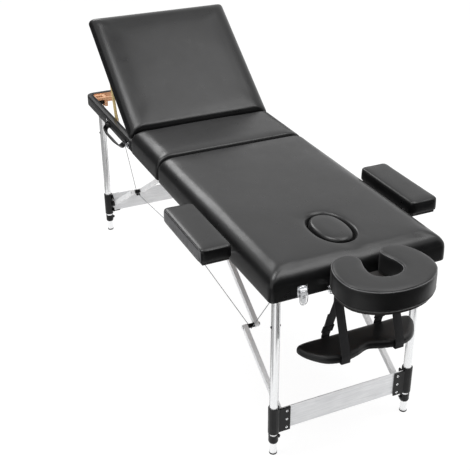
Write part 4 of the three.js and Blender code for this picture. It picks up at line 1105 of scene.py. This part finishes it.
def cableShapes(route, cuts, y, radius, sleeve):
    corners = [np.array((x, y, z)) for x, z in route]
    path = [corners[0]]
    for before, corner, after, cut in zip(corners, corners[1:], corners[2:], cuts):
        a, b = (corner + (end - corner) / np.linalg.norm(end - corner) * cut for end in (before, after))
        path += [eased(a, corner, b, t) for t in np.linspace(0, 1, 6)]
    path.append(corners[3])
    long = [path[0]]
    for p, q in zip(path, path[1:]):
        pieces = max(int(np.linalg.norm(q - p) / 20), 1)
        long += [p + (q - p) * k / pieces for k in range(1, pieces + 1)]
    shapes = [(sweep(long, circle(radius, 8), up=(0, 1, 0)), steelCable)]
    for end, toward in ((corners[0], corners[1]), (corners[3], corners[2])):
        axis = (toward - end) / np.linalg.norm(toward - end)
        shapes.append((turned(sleeve, end + axis * 24, axis, 12), chrome))
    return shapes


for half, sideX in ends:
    for hand, side in hands:
        piece = makePiece(f"{half}_{hand}_cable", cableShapes(**cable), f"{half}_half",
                          (sideX, side))
        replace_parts(piece, f"{half}_{hand}_brace_cable")
        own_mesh(piece)
print("cables done")

carry = {"centre": (-472.0, -310.0, 642.0), "halfSpan": 108.0, "depth": 27.0, "start": 4.0, "width": 24.0,
         "thickness": 4.6, "grip": 8.6, "droop": math.radians(45)}


def carryShapes(centre, halfSpan, depth, start, width, thickness, grip, droop):
    # a strap with a padded grip, folded round a chromed pin at each end
    down = np.array([0, -math.cos(droop), -math.sin(droop)])
    across = np.array([0, math.sin(droop), -math.cos(droop)])
    line = []
    for angle in np.linspace(0.0, math.pi, 60):
        c = math.cos(angle)
        line.append((halfSpan * math.copysign(math.sqrt(abs(c)), c),
                     start + (depth - start) * math.sqrt(math.sin(angle))))
    flat = smoothPath(np.array(line)[[0, 3, 7, 12, 18, 24, 30, 36, 42, 48, 53, 57, 59]], 90)
    path = centre + flat[:, :1] * np.array([1.0, 0, 0]) + flat[:, 1:] * down
    outward = np.cross(headings(path), across)
    rings = []
    for i, p in enumerate(path):
        swell = np.clip(1 - (abs(i / (len(path) - 1) - 0.5) / 0.27) ** 6, 0, 1)
        thick = thickness + (grip - thickness) * swell
        broad = width + 2.0 * swell
        section = roundedSection(thick, broad, min(thick, broad) * 0.42, 4)
        rings.append(p + section[:, :1] * outward[i] + section[:, 1:] * across)
    shapes = [(loft(rings), leather)]
    for edge in (-1, 1):
        seam = path[26:65] + across * edge * 8.6 - outward[26:65] * (grip / 2 - 0.5)
        shapes.append((sweep(seam, circle(0.7, 6), up=across), darkSeam))
    for end in (-1, 1):
        fold = turned([(5.4, -10.0), (5.9, -9.6), (5.9, 9.6), (5.4, 10.0)],
                      (centre[0] + end * halfSpan, *centre[1:]), (1, 0, 0), 22)
        shapes.append((fold, webbing))
    return shapes


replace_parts(makePiece("carry_handle_grip", carryShapes(**carry), "handle"), "carry_handle")
for end, place in ((-1, "foot"), (1, "head")):
    middle = carry["centre"][0]
    x = middle + end * 123.0
    anchor = [(slab((x, -303.6, 642.0), (46.0, 2.0, 30.0), 5.0, "y", 0.7), blackPlastic)]
    for dz in (-9.5, 9.5):
        anchor += screwShapes((x + end * 16.5, -304.5, 642.0 + dz), (0, -1, 0), (0, 0, 1))
    for dx in (-11.5, 11.5):
        cheek = slab((middle + end * 117.0 + dx, -310.0, 642.0), (2.6, 13.0, 14.0), 4.0, "x", 0.6)
        anchor.append((cheek, darkSteel))
    makePiece(f"carry_anchor_{place}_side", anchor, "foot_half")
print("carry handle done")

# Face cradle hardware under the platform
axle = (955.0, 0.0, 645.0)
knob = turned([(5.0, 114.2), (6.5, 114.6), (6.5, 117.0), (10.2, 117.6), (11.4, 119.4), (11.6, 123.0),
               (11.2, 126.4), (9.6, 128.2), (5.0, 129.0)], axle, sideways, 28)
lockNut = turned([(7.2, 104.6), (7.6, 105.2), (7.6, 109.6), (7.2, 110.2)], axle, sideways, 6)
flutes = [turned([(1.5, 118.2), (1.9, 119.0), (1.9, 126.6), (1.5, 127.4)],
                 (axle[0] + 10.9 * math.cos(a), 0, axle[2] + 10.9 * math.sin(a)), sideways, 10)
          for a in np.arange(9) * 2 * math.pi / 9]
rodCollar = turned([(7.4, 927.0), (8.6, 927.4), (8.6, 931.6), (7.4, 932.2)], (0, 101.0, 648.0),
                   (1, 0, 0), 24)
for hand, side in hands:
    makePiece(f"{hand}_cradle_knob", [(s, chrome) for s in (knob, lockNut, *flutes)], "cradle_slide",
              (1, side))
    makePiece(f"{hand}_rod_collar", [(rodCollar, blackPlastic)], "head_half", (1, side))
screwsUnder = [s for x, y in ((985.0, 60.0), (985.0, -60.0), (1075.0, 95.0), (1075.0, -95.0))
               for s in screwShapes((x, y, 654.1), (0, 0, -1), (0, 1, 0))]
makePiece("cradle_platform_screws", screwsUnder, "cradle_head")
print("cradle hardware done")

# Stage, lights and camera
stage = {"floorSize": 60.0, "floorShade": 0.80, "seenLight": 0.90, "seenShade": 0.16}
studio = {"seen": 1.0, "fill": 0.66}


def addSheet(name, corners, finish):
    mesh = bpy.data.meshes.new(name)
    mesh.from_pydata(corners, [], [(0, 1, 2, 3)])
    mesh.materials.append(finish.block)
    sheet = bpy.data.objects.new(name, mesh)
    scene.collection.objects.link(sheet)
    return sheet


def buildFloor(floorSize, floorShade, seenLight, seenShade):
    finish = Finish("paleFloor")
    plain, seen = (finish.add("BsdfDiffuse", 0, {"Color": (shade, shade, shade, 1)})
                   for shade in (floorShade, seenShade))
    bright = finish.add("AddShader", 0, {0: seen, 1: finish.add("Emission", 0, {"Strength": seenLight})})
    both = finish.add("MixShader", 0, {0: finish.cameraOrMirror(), 1: plain, 2: bright})
    finish.tree.links.new(both, finish.tree.nodes["Material Output"].inputs["Surface"])
    finish.tree.nodes.remove(finish.shader)
    h = floorSize / 2
    floor = addSheet("floor", [(-h, -h, 0), (h, -h, 0), (h, h, 0), (-h, h, 0)], finish)
    floor.location.z = -0.0004  # just under the feet


def buildWorld(seen, fill):
    world = Finish("studio", kind="worlds")
    background = world.tree.nodes["Background"]
    background.inputs["Color"].default_value = (1, 1, 1, 1)
    world.tree.links.new(world.spread(world.cameraOrMirror(), fill, seen), background.inputs["Strength"])
    scene.world = world.block


def addLamp(name, place, target, size, watts):
    data = bpy.data.lights.new(name, "AREA")
    data.shape = "RECTANGLE"
    data.size, data.size_y = size
    data.energy = watts
    lamp = bpy.data.objects.new(name, data)
    scene.collection.objects.link(lamp)
    lamp.location = place
    lamp.rotation_euler = (Vector(target) - Vector(place)).to_track_quat("-Z", "Y").to_euler()


def addCard(name, corners, glow=0.0):
    # a black card of the studio, seen only in reflections
    card = addSheet(name, corners, Finish(name, {
        "Base Color": (0.01, 0.01, 0.01, 1), "Roughness": 1.0, "Emission Color": (1, 1, 1, 1),
        "Emission Strength": glow}))
    card.visible_camera = False
    card.visible_diffuse = False
    card.visible_shadow = False
    card.visible_transmission = False


cameraSettings = {
    "place": (2862.4, -1303.7, 2035.2), "azimuth": 65.37, "elevation": 28.48, "roll": -0.3, "lens": 68.94,
    "sensor": 36.0,
}


def buildCamera(place, azimuth, elevation, roll, lens, sensor):
    a, e, roll = (math.radians(angle) for angle in (azimuth, elevation, roll))
    back = Vector((math.sin(a) * math.cos(e), -math.cos(a) * math.cos(e), math.sin(e)))
    right = Vector((0, 0, 1)).cross(back).normalized()
    up = back.cross(right)
    data = bpy.data.cameras.new("camera")
    data.lens = lens
    data.sensor_width = sensor
    data.clip_end = 200
    camera = bpy.data.objects.new("camera", data)
    scene.collection.objects.link(camera)
    turn = Matrix((math.cos(roll) * right + math.sin(roll) * up,
                   -math.sin(roll) * right + math.cos(roll) * up, back))
    camera.matrix_world = Matrix.Translation(toScene([place])[0]) @ turn.transposed().to_4x4()
    scene.camera = camera


buildFloor(**stage)
buildWorld(**studio)
for lamp in (
        ("headSoftbox", (1.3, 1.0, 3.2), (0.3, 0.2, 0.6), (1.9, 1.3), 34.0),
        ("backrestSoftbox", (-0.15, 1.0, 3.2), (-0.5, 0.0, 0.8), (1.3, 1.3), 13.0),
        ("backrestEdgeSoftbox", (-0.1, -1.4, 3.2), (-0.5, -0.2, 0.8), (1.2, 1.2), 30.0),
        ("cornerSoftbox", (0.4, -0.7, 3.2), (0.7, -0.2, 0.7), (1.5, 1.1), 21.0),
        ("footSoftbox", (-3.2, -0.5, 3.0), (-0.1, -0.3, 0.7), (1.6, 1.0), 34.0)):
    addLamp(*lamp)
# the two leg cards lie on the floor under the table, where it is shaded: painted shade, seen in the legs'
# reflections
for name, (x0, x1), (y0, y1), glow in (
        ("sideCard", (-3.6, 0.85), (-3.6, -0.66), 0.14), ("cornerCard", (0.85, 1.7), (-3.6, -1.22), 0.0),
        ("frontCard", (1.7, 4.2), (-2.6, -0.25), 0.0), ("endCard", (1.35, 4.2), (-0.25, 3.0), 0.0),
        ("headLegShadeCard", (-0.5, 0.55), (-0.38, 0.45), 0.0), ("footLegShadeCard", (-2.8, -1.3), (-0.6, 1.0), 0.0)):
    addCard(name, [(x0, y0, 0.002), (x1, y0, 0.002), (x1, y1, 0.002), (x0, y1, 0.002)], glow)
for name, (x0, y0), (x1, y1), height in (
        ("wallCard", (-4.6, 0.6), (-1.4, -4.4), 2.3), ("cameraCard", (4.8, -3.0), (4.8, 4.5), 4.2),
        ("backCard", (-4.6, 3.6), (-4.6, 0.6), 1.5)):
    addCard(name, [(x0, y0, 0.0), (x1, y1, 0.0), (x1, y1, height), (x0, y0, height)])
buildCamera(**cameraSettings)
scene.view_settings.view_transform = "Standard"
print("stage set")
